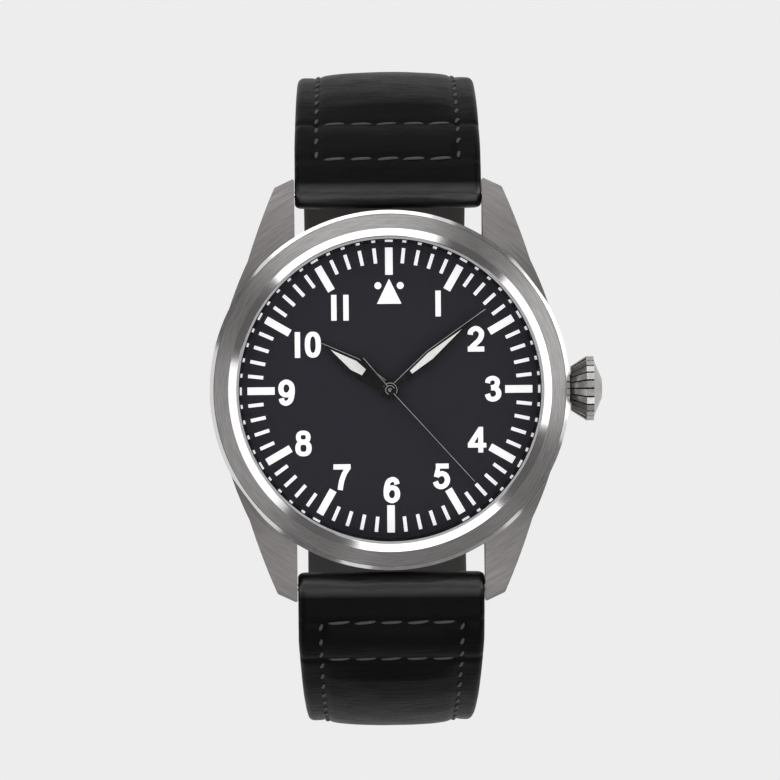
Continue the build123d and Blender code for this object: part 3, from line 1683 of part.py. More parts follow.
with BuildPart() as lower_leather:
    with BuildSketch(Plane.YZ):
        layer_outline(lower_route, -1, lower_thickness_shares, 1)
        with Locations(lower_bar_point):
            Circle(roll_radius)
            Circle(roll_bore, mode=Mode.SUBTRACT)
    extrude(amount=strap_width / 2, both=True)
    trim_width(lower_width_shares)
    cut_holes()
    pad(lower_route, -1, lower_thickness_shares, lower_pad_length)
lower_leather.part.label = "lower_leather"
export_step(lower_leather.part, "parts/lower_leather.step")

with BuildPart() as lower_lining:
    with BuildSketch(Plane.YZ):
        layer_outline(lower_route, -1, lower_thickness_shares, -1)
        with Locations(lower_bar_point):
            Circle(roll_radius, mode=Mode.SUBTRACT)
    extrude(amount=strap_width / 2, both=True)
    trim_width(lower_width_shares)
    cut_holes()
lower_lining.part.label = "lower_lining"
export_step(lower_lining.part, "parts/lower_lining.step")

# Tang buckle on the short half, with its bar, its tongue and the two keepers
buckle_inset = 0.7
buckle_inner_half = strap_width / 2 - buckle_inset
buckle_arm_width = 1.65
ear_radius = 1.3
crossbar_radius = 1.15
crossbar_share = (-0.558, -0.214)
crossbar_notch_half = 1.2
crossbar_notch_depth = 1.1
tongue_ring_radius = 1.25
tongue_width = 1.7
tongue_thickness = 0.8
tongue_shares = (
    (-0.186, -0.028),
    (-0.258, -0.069),
    (-0.336, -0.167),
    (-0.402, -0.211),
    (-0.608, -0.242),
)
tongue_stations = 20
buckle_end_gap = 0.15
buckle_pin_length = 1.2
fixed_keeper_y = 6.0
keeper_length = 4.0
keeper_wall = 0.8
keeper_inner_half = strap_width / 2 - keeper_wall
keeper_corner_radius = 1.0
keeper_top = -39.55
sliding_keeper_share = 0.82


def from_buckle(share):
    """Point (y, z) at shares of the buckle's width from its bar."""
    return (buckle_point[0] + share[0] * buckle_width, buckle_point[1] + share[1] * buckle_width)


crossbar_point = from_buckle(crossbar_share)
keeper_bottom = crossbar_point[1] - crossbar_radius

with BuildPart() as buckle_frame:
    with BuildSketch(Plane.YZ.offset(-buckle_inner_half - buckle_arm_width)):
        with Locations(buckle_point):
            Circle(ear_radius)
        with Locations(crossbar_point):
            Circle(crossbar_radius)
        make_hull()
    extrude(amount=2 * (buckle_inner_half + buckle_arm_width))
    with BuildSketch(Plane.YZ.offset(-buckle_inner_half)):
        with Locations(buckle_point):
            Circle(ear_radius + overrun)
        with Locations(crossbar_point):
            Circle(crossbar_radius + overrun)
        make_hull()
        with Locations(crossbar_point):
            Circle(crossbar_radius, mode=Mode.SUBTRACT)
    extrude(amount=2 * buckle_inner_half, mode=Mode.SUBTRACT)
    notch_floor = keeper_bottom + crossbar_notch_depth
    with BuildSketch(Plane.XZ.offset(-crossbar_point[0])):
        with Locations((0, notch_floor - crossbar_radius)):
            Rectangle(2 * crossbar_notch_half, 2 * crossbar_radius)
    extrude(amount=2 * crossbar_radius, both=True, mode=Mode.SUBTRACT)
    rod(
        buckle_point,
        bar_hole_radius,
        -buckle_inner_half - buckle_pin_length,
        buckle_inner_half + buckle_pin_length,
        mode=Mode.SUBTRACT,
    )
buckle_frame.part.label = "buckle_frame"
export_step(buckle_frame.part, "parts/buckle_frame.step")

with BuildPart() as buckle_bar:
    buckle_bar_half = buckle_inner_half - buckle_end_gap
    buckle_pin_end = buckle_inner_half + buckle_pin_length - part_gap
    rod(buckle_point, bar_radius, -buckle_bar_half, buckle_bar_half)
    rod(buckle_point, bar_pin_radius, -buckle_pin_end, buckle_pin_end)
buckle_bar.part.label = "buckle_bar"
export_step(buckle_bar.part, "parts/buckle_bar.step")

with BuildLine(Plane.YZ) as tongue_line:
    Spline(buckle_point, *[from_buckle(share) for share in tongue_shares])
tongue_route = tongue_line.edges()[0]

with BuildPart() as buckle_tongue:
    with BuildSketch(Plane.YZ.offset(-tongue_width / 2)):
        band_outline(
            tongue_route,
            -1,
            [-tongue_thickness / 2] * (tongue_stations + 1),
            [tongue_thickness / 2] * (tongue_stations + 1),
        )
        with Locations(buckle_point):
            Circle(tongue_ring_radius)
            Circle(roll_bore, mode=Mode.SUBTRACT)
    extrude(amount=tongue_width)
buckle_tongue.part.label = "buckle_tongue"
export_step(buckle_tongue.part, "parts/buckle_tongue.step")

with BuildPart() as fixed_keeper:
    keeper_height = keeper_top - keeper_bottom - keeper_wall
    with BuildSketch(Plane.XZ.offset(-fixed_keeper_y)):
        with Locations((0, keeper_bottom + keeper_wall + keeper_height / 2)):
            RectangleRounded(
                2 * (keeper_inner_half + keeper_wall),
                keeper_height + 2 * keeper_wall,
                keeper_corner_radius,
            )
            Rectangle(2 * keeper_inner_half, keeper_height, mode=Mode.SUBTRACT)
    extrude(amount=-keeper_length)
fixed_keeper.part.label = "fixed_keeper"
export_step(fixed_keeper.part, "parts/fixed_keeper.step")

with BuildPart() as sliding_keeper:
    slider_inner = upper_end_thickness + tail_gap
    slider_outer = tail_distance + tail_thickness + tail_gap
    slider_middle = beside(upper_route, 1, sliding_keeper_share, (slider_outer - slider_inner) / 2)
    slider_tangent = upper_route.tangent_at(sliding_keeper_share)
    slider_plane = Plane(slider_middle, x_dir=(1, 0, 0), z_dir=slider_tangent)
    with BuildSketch(slider_plane):
        RectangleRounded(
            2 * (keeper_inner_half + keeper_wall),
            slider_inner + slider_outer + 2 * keeper_wall,
            keeper_corner_radius,
        )
        Rectangle(2 * keeper_inner_half, slider_inner + slider_outer, mode=Mode.SUBTRACT)
    extrude(amount=keeper_length / 2, both=True)
sliding_keeper.part.label = "sliding_keeper"
export_step(sliding_keeper.part, "parts/sliding_keeper.step")
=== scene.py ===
# %% [markdown]
# # A pilot watch seen from straight above
# The case, the dial, the hands and the movement come from the CAD model and keep their meshes. Here they get
# their finishes, and the soft strap, its seams and the printed numerals are modelled.

import math
import random

import bmesh
import bpy
import numpy as np
from mathutils import Matrix, Vector, noise


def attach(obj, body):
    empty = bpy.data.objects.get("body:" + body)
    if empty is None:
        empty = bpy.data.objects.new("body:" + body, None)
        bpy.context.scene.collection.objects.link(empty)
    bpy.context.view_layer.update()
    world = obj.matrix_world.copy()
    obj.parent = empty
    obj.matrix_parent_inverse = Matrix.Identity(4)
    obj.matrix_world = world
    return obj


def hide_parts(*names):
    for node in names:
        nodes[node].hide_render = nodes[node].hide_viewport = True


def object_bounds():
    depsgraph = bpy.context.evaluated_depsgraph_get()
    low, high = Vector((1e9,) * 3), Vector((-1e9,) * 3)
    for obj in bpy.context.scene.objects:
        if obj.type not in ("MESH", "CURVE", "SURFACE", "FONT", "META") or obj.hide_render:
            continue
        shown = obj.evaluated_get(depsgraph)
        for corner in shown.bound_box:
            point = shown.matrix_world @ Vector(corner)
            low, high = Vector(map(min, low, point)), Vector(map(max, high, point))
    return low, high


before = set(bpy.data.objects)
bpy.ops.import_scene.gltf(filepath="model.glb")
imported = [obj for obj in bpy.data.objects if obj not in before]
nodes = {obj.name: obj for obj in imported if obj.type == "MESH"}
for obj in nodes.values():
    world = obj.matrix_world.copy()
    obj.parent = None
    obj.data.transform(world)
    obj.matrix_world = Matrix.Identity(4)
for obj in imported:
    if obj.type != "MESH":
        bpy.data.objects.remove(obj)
cad_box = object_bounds()
MM = 0.001
random.seed(7)
print("nodes", len(nodes), "box", cad_box)

# %% [markdown]
# ## Camera
# A long lens about 70 cm above the dial shows a watch almost without perspective. It leans and turns a little,
# as in the photograph. Distances and heights are in millimetres, and the scale is in picture points per
# millimetre at the dial.

# %% Camera
PICTURE = 780
SENSOR = 36.0
SCALE = 9.246
DISTANCE = 700.0
DIAL_HEIGHT = 7.0
YAW = math.radians(-0.6)
ROLL = math.radians(-0.5)
scene = bpy.context.scene
camera_data = bpy.data.cameras.new("camera")
camera_data.sensor_width = SENSOR
camera_data.lens = SCALE * DISTANCE * SENSOR / PICTURE
camera_data.clip_start = 0.01
camera_data.clip_end = 10.0
camera = bpy.data.objects.new("camera", camera_data)
scene.collection.objects.link(camera)
turn = Matrix.Rotation(YAW, 4, "Y") @ Matrix.Rotation(ROLL, 4, "Z")
aim = Vector((0.0, 0.0, DIAL_HEIGHT * MM))
camera.matrix_world = Matrix.Translation(aim) @ turn @ Matrix.Translation((0, 0, DISTANCE * MM))
scene.camera = camera
scene.view_settings.view_transform = "Standard"
print("lens", round(camera_data.lens, 1))

# %% [markdown]
# ## Light and floor
# Steel shows what stands round it. Four soft boxes of unequal strength stand round the watch and two narrow ones
# hang over it. The floor and the room are pale where the camera, a mirroring face or glass sees them, and they
# light the watch at a lower level of their own.

# %% Light and floor
LAMP_DISTANCE = 0.8


def toward(azimuth, elevation):
    """Direction from the watch to an azimuth and an elevation in degrees."""
    level = math.cos(math.radians(elevation))
    ray = Vector((level * math.cos(math.radians(azimuth)), level * math.sin(math.radians(azimuth)), 0))
    ray.z = math.sin(math.radians(elevation))
    return ray


def softbox(name, azimuth, elevation, size, radiance):
    """A soft rectangular light that faces the watch."""
    data = bpy.data.lights.new(name, "AREA")
    data.shape = "RECTANGLE"
    data.size, data.size_y = size
    data.energy = radiance * math.pi * size[0] * size[1]
    lamp = bpy.data.objects.new(name, data)
    ray = toward(azimuth, elevation)
    lamp.location = ray * LAMP_DISTANCE
    lamp.rotation_euler = (-ray).to_track_quat("-Z", "Y").to_euler()
    scene.collection.objects.link(lamp)


def piece_of(name, shape):
    """An object from a bmesh, which is used up."""
    data = bpy.data.meshes.new(name)
    shape.to_mesh(data)
    shape.free()
    piece = bpy.data.objects.new(name, data)
    scene.collection.objects.link(piece)
    return piece


softbox("right_box", 15, 22, (0.80, 0.80), 1.15)
softbox("top_box", 103, 22, (0.90, 0.80), 1.02)
softbox("left_box", 197, 31, (0.70, 0.50), 0.62)
softbox("low_box", 287, 37, (0.68, 0.36), 1.25)
softbox("north_roof", 95, 66, (0.55, 0.12), 1.9)
softbox("south_roof", 275, 66, (0.55, 0.12), 1.9)


def seen_rays(tree, path):
    """Output that is 1 for camera, glossy and transmission rays, which see the pale background."""
    glossy = tree.nodes.new("ShaderNodeMath")
    glossy.operation = "MAXIMUM"
    tree.links.new(path.outputs["Is Camera Ray"], glossy.inputs[0])
    tree.links.new(path.outputs["Is Glossy Ray"], glossy.inputs[1])
    passed = tree.nodes.new("ShaderNodeMath")
    passed.operation = "MAXIMUM"
    tree.links.new(glossy.outputs[0], passed.inputs[0])
    tree.links.new(path.outputs["Is Transmission Ray"], passed.inputs[1])
    return passed.outputs[0]


ROOM_LIGHT = 0.55
ROOM_TONE = 0.863
world = bpy.data.worlds.new("room")
scene.world = world
world.use_nodes = True
room = world.node_tree
room.nodes.clear()
room_out = room.nodes.new("ShaderNodeOutputWorld")
room_light = room.nodes.new("ShaderNodeBackground")
room_light.inputs["Color"].default_value = (1.0, 0.965, 0.95, 1)
room_light.inputs["Strength"].default_value = ROOM_LIGHT
room_seen = room.nodes.new("ShaderNodeBackground")
room_seen.inputs["Color"].default_value = (ROOM_TONE, ROOM_TONE, ROOM_TONE, 1)
room_seen.inputs["Strength"].default_value = 1.0
room_mix = room.nodes.new("ShaderNodeMixShader")
room_path = room.nodes.new("ShaderNodeLightPath")
room.links.new(seen_rays(room, room_path), room_mix.inputs["Fac"])
room.links.new(room_light.outputs["Background"], room_mix.inputs[1])
room.links.new(room_seen.outputs["Background"], room_mix.inputs[2])
room.links.new(room_mix.outputs["Shader"], room_out.inputs["Surface"])

FLOOR_SIZE = 1.5
FLOOR_GAP = 0.0002
floor_mesh = bmesh.new()
bmesh.ops.create_grid(floor_mesh, x_segments=1, y_segments=1, size=FLOOR_SIZE)
bmesh.ops.translate(floor_mesh, vec=(0, 0, cad_box[0][2] - FLOOR_GAP), verts=floor_mesh.verts)
floor = piece_of("floor", floor_mesh)


# %% [markdown]
# ## Finishes
# Every finish is a small node tree. The patterns read Object coordinates, so that they stay on the piece when
# it is seen from another side.

# %% Material helpers
class Finish:
    """A material with one principled shader and short calls for its texture nodes."""

    def __init__(self, name, color, metallic=0.0, roughness=0.5):
        self.material = bpy.data.materials.new(name)
        self.material.use_nodes = True
        self.tree = self.material.node_tree
        self.shader = self.tree.nodes["Principled BSDF"]
        self.shader.inputs["Base Color"].default_value = (*color, 1)
        self.shader.inputs["Metallic"].default_value = metallic
        self.shader.inputs["Roughness"].default_value = roughness
        self.place = self.tree.nodes.new("ShaderNodeTexCoord").outputs["Object"]

    def node(self, kind, **values):
        made = self.tree.nodes.new(kind)
        for key, value in values.items():
            setattr(made, key, value)
        return made

    def join(self, output, node, socket):
        self.tree.links.new(output, node.inputs[socket])

    def mapped(self, vector, scale, rotation=(0, 0, 0)):
        mapping = self.node("ShaderNodeMapping")
        mapping.inputs["Scale"].default_value = scale
        mapping.inputs["Rotation"].default_value = rotation
        self.join(vector, mapping, "Vector")
        return mapping.outputs["Vector"]

    def noise(self, vector, scale, detail=4.0, roughness=0.5):
        made = self.node("ShaderNodeTexNoise")
        made.inputs["Scale"].default_value = scale
        made.inputs["Detail"].default_value = detail
        made.inputs["Roughness"].default_value = roughness
        self.join(vector, made, "Vector")
        return made.outputs["Fac"]

    def ramp(self, value, low, high, at=(0.35, 0.65)):
        made = self.node("ShaderNodeValToRGB")
        made.color_ramp.elements[0].position = at[0]
        made.color_ramp.elements[1].position = at[1]
        made.color_ramp.elements[0].color = (*low, 1)
        made.color_ramp.elements[1].color = (*high, 1)
        self.join(value, made, "Fac")
        return made.outputs["Color"]

    def range(self, value, low, high, source=(0.0, 1.0)):
        made = self.node("ShaderNodeMapRange")
        made.inputs["From Min"].default_value = source[0]
        made.inputs["From Max"].default_value = source[1]
        made.inputs["To Min"].default_value = low
        made.inputs["To Max"].default_value = high
        self.join(value, made, "Value")
        return made.outputs["Result"]

    def bump(self, height, strength, distance):
        made = self.node("ShaderNodeBump")
        made.inputs["Strength"].default_value = strength
        made.inputs["Distance"].default_value = distance
        self.join(height, made, "Height")
        self.join(made.outputs["Normal"], self.shader, "Normal")

    def polar(self):
        """Radius and angle about the hands' axis as a vector, for turned and circular-brushed faces."""
        parts = self.node("ShaderNodeSeparateXYZ")
        self.join(self.place, parts, "Vector")
        x, y = parts.outputs["X"], parts.outputs["Y"]
        square = self.math("MULTIPLY_ADD", y, y, self.math("MULTIPLY", x, x))
        vector = self.node("ShaderNodeCombineXYZ")
        self.join(self.math("POWER", square, 0.5), vector, "X")
        self.join(self.math("ARCTAN2", y, x), vector, "Y")
        self.join(parts.outputs["Z"], vector, "Z")
        return vector.outputs["Vector"]

    def math(self, operation, *values):
        """A math node whose inputs are outputs of other nodes or plain numbers."""
        made = self.node("ShaderNodeMath", operation=operation)
        for socket, value in enumerate(values):
            if isinstance(value, float):
                made.inputs[socket].default_value = value
            else:
                self.join(value, made, socket)
        return made.outputs[0]

    def glow(self, color, strength):
        """Painted light of its own, so that a white stays white under the crystal."""
        self.shader.inputs["Emission Color"].default_value = (*color, 1)
        self.shader.inputs["Emission Strength"].default_value = strength

    def blend(self, share, one, other):
        """The surface as a mix of two shaders."""
        mix = self.node("ShaderNodeMixShader")
        self.join(share, mix, "Fac")
        self.join(one, mix, 1)
        self.join(other, mix, 2)
        self.join(mix.outputs[0], self.tree.nodes["Material Output"], "Surface")


def brushed(name, color, scale, roughness, depth, circular=True, rotation=(0, 0, 0)):
    """Metal with fine circular or parallel brush marks."""
    finish = Finish(name, color, 1.0, roughness)
    base = finish.polar() if circular else finish.mapped(finish.place, (1, 1, 1), rotation)
    marks = finish.noise(finish.mapped(base, scale), 1.0, 6.0, 0.62)
    clouds = finish.noise(finish.place, 160.0, 2.0, 0.5)
    tone = finish.ramp(marks, tuple(c * 0.80 for c in color), tuple(min(1, c * 1.14) for c in color))
    finish.join(tone, finish.shader, "Base Color")
    finish.join(finish.range(clouds, roughness * 0.85, roughness * 1.15), finish.shader, "Roughness")
    finish.bump(marks, 0.5, depth)
    return finish.material


# %% Steel of the case, the bezel and the crown
# The case's and the bezel's steel are much darker than the same steel on the back: their dark base colours are
# painted shade, for the dark surroundings that the brushed steel mirrors between the soft boxes.
shaded_case_steel = brushed("shaded_case_steel", (0.20, 0.191, 0.188), (6500, 7, 500), 0.46, 1.1e-5)
shaded_bezel_steel = brushed("shaded_bezel_steel", (0.29, 0.282, 0.279), (9000, 8, 500), 0.34, 7e-6)
back_steel = brushed("back_steel", (0.58, 0.575, 0.57), (14000, 10, 500), 0.30, 3e-6)
crown_steel = brushed("crown_steel", (0.42, 0.407, 0.40), (2000, 2000, 2000), 0.26, 3e-6, False)
print("brushed steels made")


def polished(name, color, roughness=0.08):
    """Polished metal with the faint haze that handling leaves."""
    finish = Finish(name, color, 1.0, roughness)
    haze = finish.noise(finish.place, 900.0, 3.0, 0.6)
    finish.join(finish.range(haze, roughness * 0.7, roughness * 1.5), finish.shader, "Roughness")
    finish.bump(haze, 0.05, 1e-6)
    return finish


bright_steel = polished("bright_steel", (0.66, 0.655, 0.65)).material
lip_steel = polished("lip_steel", (0.74, 0.73, 0.74), 0.12).material
# A glowing polished steel for the painted highlights along the hands' edges.
highlight_glow_finish = polished("painted_highlight_steel", (0.60, 0.60, 0.62), 0.3)
highlight_glow_finish.glow((1.0, 1.0, 1.0), 0.18)
painted_highlight_steel = highlight_glow_finish.material
# The flange ring is nearly black steel: its dark colour paints in the reflection of the black dial, which the steep
# polished ring mirrors.
dark_flange_reflection_steel = polished("dark_flange_reflection_steel", (0.10, 0.10, 0.11), 0.12).material
# A nearly black steel, for the crown tube and as painted shade in the crown's flutes.
dark_steel_and_shade = polished("dark_steel_and_shade", (0.03, 0.028, 0.028), 0.4).material
spring_steel = polished("spring_steel", (0.40, 0.41, 0.43), 0.22).material
blued_steel = polished("blued_steel", (0.03, 0.06, 0.28), 0.2).material
gilt_brass = brushed("gilt_brass", (0.72, 0.52, 0.22), (6000, 6000, 6000), 0.28, 2e-6, False)
striped_nickel = brushed(
    "striped_nickel", (0.62, 0.61, 0.58), (900, 8000, 500), 0.26, 3e-6, False, (0, 0, 0.4)
)


# %% Dial, print, hands, glass and seals
def matt(name, color, roughness, grain, grain_depth, spread=0.15):
    """Paint, lacquer or rubber with a fine even grain."""
    finish = Finish(name, color, 0.0, roughness)
    speck = finish.noise(finish.place, grain, 3.0, 0.55)
    low = tuple(c * (1 - spread) for c in color)
    high = tuple(min(1.0, c * (1 + spread)) for c in color)
    finish.join(finish.ramp(speck, low, high), finish.shader, "Base Color")
    finish.join(finish.range(speck, roughness * 0.9, min(1, roughness * 1.1)), finish.shader, "Roughness")
    finish.bump(speck, 0.25, grain_depth)
    return finish


dial_finish = matt("dial_lacquer", (0.0150, 0.0144, 0.0215), 0.62, 9000.0, 1.5e-6)
dial_finish.shader.inputs["Specular IOR Level"].default_value = 0.25
dial_lacquer = dial_finish.material
print_and_glow_finish = matt("white_print", (0.92, 0.93, 0.94), 0.55, 7000.0, 2e-6, 0.03)
# The print glows a little: painted brightness that keeps it white under the crystal.
print_and_glow_finish.glow((0.95, 0.97, 1.0), 0.34)
white_print = print_and_glow_finish.material
hand_lacquer = matt("hand_lacquer", (0.010, 0.010, 0.011), 0.22, 4000.0, 5e-7).material
crystal_seal = matt("crystal_seal", (0.50, 0.50, 0.51), 0.4, 7000.0, 1e-6).material
seal_rubber = matt("seal_rubber", (0.012, 0.012, 0.012), 0.6, 3000.0, 4e-6).material
lume_and_glow_finish = matt("lume_and_glow", (0.86, 0.875, 0.85), 0.6, 5000.0, 3e-6, 0.05)
# The lume glows a little too: painted brightness.
lume_and_glow_finish.glow((0.95, 0.97, 1.0), 0.06)
lume_and_glow = lume_and_glow_finish.material

# The crystal lets rays pass straight through. A ray inside it meets the far side at a slant that a refracted ray
# would not have, so only the sides that face outward mirror.
glass_finish = Finish("crystal_glass", (0.9, 0.95, 1.0), 0.0, 0.02)
clear = glass_finish.node("ShaderNodeBsdfTransparent")
mirror = glass_finish.node("ShaderNodeBsdfGlossy")
mirror.inputs["Roughness"].default_value = 0.03
mirror.inputs["Color"].default_value = (0.82, 0.88, 0.95, 1)
edge = glass_finish.node("ShaderNodeFresnel")
edge.inputs["IOR"].default_value = 1.11
inward = glass_finish.node("ShaderNodeNewGeometry").outputs["Backfacing"]
mirrored = glass_finish.math("MULTIPLY", edge.outputs["Fac"], glass_finish.math("SUBTRACT", 1.0, inward))
glass_finish.blend(mirrored, clear.outputs[0], mirror.outputs[0])
crystal_glass = glass_finish.material

ruby_finish = Finish("ruby", (0.50, 0.02, 0.10), 0.0, 0.08)
ruby_finish.shader.inputs["Coat Weight"].default_value = 0.6
ruby_cloud = ruby_finish.noise(ruby_finish.place, 2500.0, 2.0)
ruby_tone = ruby_finish.ramp(ruby_cloud, (0.42, 0.01, 0.07), (0.62, 0.04, 0.14))
ruby_finish.join(ruby_tone, ruby_finish.shader, "Base Color")
ruby = ruby_finish.material


# %% Leather, lining and thread
# The strap is dull, and only the turn beside each spring bar shines.
def leather(name, color, roughness, depth, wear):
    """Smooth calf: fine pores and soft pebbles, with the colour a little worn in soft random clouds."""
    finish = Finish(name, color, 0.0, roughness)
    pores = finish.node("ShaderNodeTexVoronoi", feature="DISTANCE_TO_EDGE")
    pores.inputs["Scale"].default_value = 2600.0
    finish.join(finish.place, pores, "Vector")
    pebbles = finish.noise(finish.place, 1500.0, 5.0, 0.6)
    clouds = finish.noise(finish.place, 130.0, 3.0, 0.55)
    grain = finish.math("MULTIPLY_ADD", pores.outputs["Distance"], 0.7, pebbles)
    tone = finish.ramp(clouds, color, wear, (0.4, 0.75))
    finish.join(tone, finish.shader, "Base Color")
    creases = finish.noise(finish.mapped(finish.place, (380.0, 1700.0, 1700.0)), 1.0, 5.0, 0.62)
    finish.join(finish.range(pebbles, roughness * 0.8, roughness * 1.2), finish.shader, "Roughness")
    finish.bump(finish.math("MULTIPLY_ADD", creases, 9.0, grain), 0.55, depth)
    return finish


strap_finish = leather("strap_leather", (0.0022, 0.0021, 0.0022), 0.40, 1.2e-5, (0.0034, 0.0032, 0.0033))
place_parts = strap_finish.node("ShaderNodeSeparateXYZ")
strap_finish.join(strap_finish.place, place_parts, "Vector")
beside_bar = strap_finish.math("ABSOLUTE", place_parts.outputs["Y"])
at_turn = strap_finish.range(beside_bar, 0.0, 1.0, (0.0226, 0.0214))
at_top = strap_finish.range(place_parts.outputs["Z"], 0.0, 1.0, (-0.006, -0.001))
turn_shine = strap_finish.math("MULTIPLY_ADD", strap_finish.math("MULTIPLY", at_turn, at_top), 0.65, 0.05)
strap_finish.join(turn_shine, strap_finish.shader, "Specular IOR Level")
strap_leather = strap_finish.material
lining_leather = leather("lining_leather", (0.019, 0.0178, 0.017), 0.7, 1.6e-5, (0.03, 0.028, 0.0265)).material
strap_thread = matt("strap_thread", (0.050, 0.048, 0.048), 0.6, 9000.0, 1.5e-5, 0.35).material

# %% Floor paper
# It keeps a little of the watch's shadow where the pale glow leaves a share to the light.
FLOOR_TONE = 0.868
FLOOR_GLOW = 0.97
floor_finish = Finish("floor_paper", (0.26, 0.255, 0.25), 0.0, 0.9)
floor_glow = floor_finish.node("ShaderNodeEmission")
floor_glow.inputs["Color"].default_value = (FLOOR_TONE, FLOOR_TONE, FLOOR_TONE, 1)
floor_glow.inputs["Strength"].default_value = 1.0
floor_path = floor_finish.node("ShaderNodeLightPath")
floor_share = floor_finish.math("MULTIPLY", seen_rays(floor_finish.tree, floor_path), FLOOR_GLOW)
floor_finish.blend(floor_share, floor_finish.shader.outputs[0], floor_glow.outputs[0])
floor.data.materials.append(floor_finish.material)

# %% Dark flags
# The photograph's steel is dark between the soft boxes. Dark cards stand there, which the camera looks through.
FLAG_DISTANCE = 0.70
flag_finish = Finish("flag_cloth", (0.24, 0.232, 0.232), 0.0, 0.95)
flag_finish.shader.inputs["Specular IOR Level"].default_value = 0.0


def flag(name, azimuth, elevation, size, distance=FLAG_DISTANCE):
    """A dark card that faces the watch between two soft boxes."""
    ray = toward(azimuth, elevation)
    card = bmesh.new()
    bmesh.ops.create_grid(card, x_segments=1, y_segments=1, size=0.5)
    bmesh.ops.scale(card, verts=card.verts, vec=(size[0], size[1], 1))
    facing = (-ray).to_track_quat("Z", "Y").to_matrix()
    bmesh.ops.rotate(card, verts=card.verts, cent=(0, 0, 0), matrix=facing)
    bmesh.ops.translate(card, verts=card.verts, vec=ray * distance)
    piece = piece_of(name, card)
    piece.data.materials.append(flag_finish.material)
    piece.visible_camera = False
    piece.visible_shadow = False


flag("right_top_flag", 57, 24, (0.30, 0.72))
flag("left_top_flag", 152, 24, (0.36, 0.72))
flag("left_low_flag", 243, 24, (0.30, 0.72))
flag("right_low_flag", 330, 24, (0.36, 0.72))
flag("low_flag", 287, 8, (0.60, 0.26))
flag("roof_flag", 0, 90, (0.46, 0.46), 0.78)

# %% Which node has which finish
finishes = [
    (shaded_case_steel, ["case_middle"]),
    (shaded_bezel_steel, ["bezel"]),
    (back_steel, ["case_back"]),
    (crown_steel, ["crown"]),
    (crystal_glass, ["crystal"]),
    (crystal_seal, ["crystal_gasket"]),
    (seal_rubber, ["back_gasket", "crown_gasket"]),
    (dark_flange_reflection_steel, ["flange_ring"]),
    (dark_steel_and_shade, ["crown_tube"]),
    (dial_lacquer, ["dial"]),
    (white_print, ["dial_markers"]),
    (lume_and_glow, ["hour_lume", "minute_lume"]),
    (hand_lacquer, ["hour_hand", "minute_hand", "seconds_hand"]),
    (
        bright_steel,
        [
            "crown_wheel", "ratchet_wheel", "click", "casing_clamps", "spring_bars",
            "upper_bar_tip", "lower_bar_tip", "buckle_frame", "buckle_bar", "buckle_tongue",
        ],
    ),
    (
        spring_steel,
        [
            "winding_stem", "mainspring", "barrel_arbor", "escape_wheel", "pallet_fork", "cannon_pinion",
            "winding_pinion", "sliding_clutch",
        ],
    ),
    (blued_steel, ["bridge_screws", "casing_screws", "hairspring"]),
    (
        gilt_brass,
        [
            "barrel", "centre_wheel", "third_wheel", "fourth_wheel", "balance_wheel", "minute_wheel",
            "hour_wheel",
        ],
    ),
    (
        striped_nickel,
        ["main_plate", "barrel_bridge", "train_bridge", "balance_cock", "pallet_cock", "movement_ring"],
    ),
    (ruby, ["jewels"]),
    (strap_leather, ["upper_leather", "lower_leather", "fixed_keeper", "sliding_keeper"]),
    (lining_leather, ["upper_lining", "lower_lining"]),
]
for material, names in finishes:
    for name in names:
        slots = nodes[name].data.materials
        slots.clear()
        slots.append(material)
print("finished nodes", sum(len(names) for _, names in finishes))


# %% Polished edges on brushed pieces, and the crown's dark flutes
def second_finish(name, material, chosen):
    """Gives another finish to the faces of a node whose radius, height and tilt are chosen, in millimetres."""
    data = nodes[name].data
    data.materials.append(material)
    count = 0
    for face in data.polygons:
        radius = math.hypot(face.center.x, face.center.y) / MM
        if chosen(radius, face.center.z / MM, face.normal.z):
            face.material_index = len(data.materials) - 1
            count += 1
    print(name, "polished faces", count)


LIP_RADIUS = 17.5
CHAMFER_RADIUS = 19.0
CHAMFER_LOW = 6.6
second_finish("bezel", lip_steel, lambda radius, height, tilt: radius < LIP_RADIUS and tilt > 0.5)
second_finish(
    "case_middle", lip_steel,
    lambda radius, height, tilt: radius > CHAMFER_RADIUS and height > CHAMFER_LOW and 0.5 < tilt < 0.9,
)

CROWN_HEIGHT = 3.7
FLUTE_ENDS = (19.72, 22.12)


def in_flute(face):
    """Whether a face of the crown lies below the crown's cone or rim, in the flutes."""
    x, y, z = (value / MM for value in face.center)
    outline = min(3.5, 2.42 + (x - 19.68) * 1.08 / 1.65)
    return FLUTE_ENDS[0] < x < FLUTE_ENDS[1] and math.hypot(y, z - CROWN_HEIGHT) < outline - 0.09


# The faces down in the flutes get the nearly black steel: painted shade in the narrow grooves.
crown_data = nodes["crown"].data
crown_data.materials.append(dark_steel_and_shade)
shaded_flutes = [face for face in crown_data.polygons if in_flute(face)]
for face in shaded_flutes:
    face.material_index = len(crown_data.materials) - 1
print("crown flute faces", len(shaded_flutes))


# %% [markdown]
# ## Strap halves
# A padded strap is a leather top over a filler, turned round the spring bar and glued to a lining. Each layer
# starts as a flat grid that is given a wall, and every point of it is then laid along the strap's middle line:
# how far along, how far across and how high above the line.

# %% The strap's middle line
# Places are (y, z) from the watch's middle; the shares are of the reach outward and of the drop below the bar.
BAR = (21.4, 2.9)
DROP = 44.4
ROLL_RADIUS = 1.65
BORE = 0.8
UPPER_REACH, LOWER_REACH = 12.1, 14.05
SHAPE = [
    (0.259, 0.036), (0.583, 0.137), (0.858, 0.277), (1.0, 0.448), (0.931, 0.628), (0.567, 0.806),
    (-0.113, 0.93), (-0.964, 0.991),
]
UNDER = [(0, 0.955), (-0.8, 1.011), (-1.295, 1.042), (-1.48, 1.0585)]


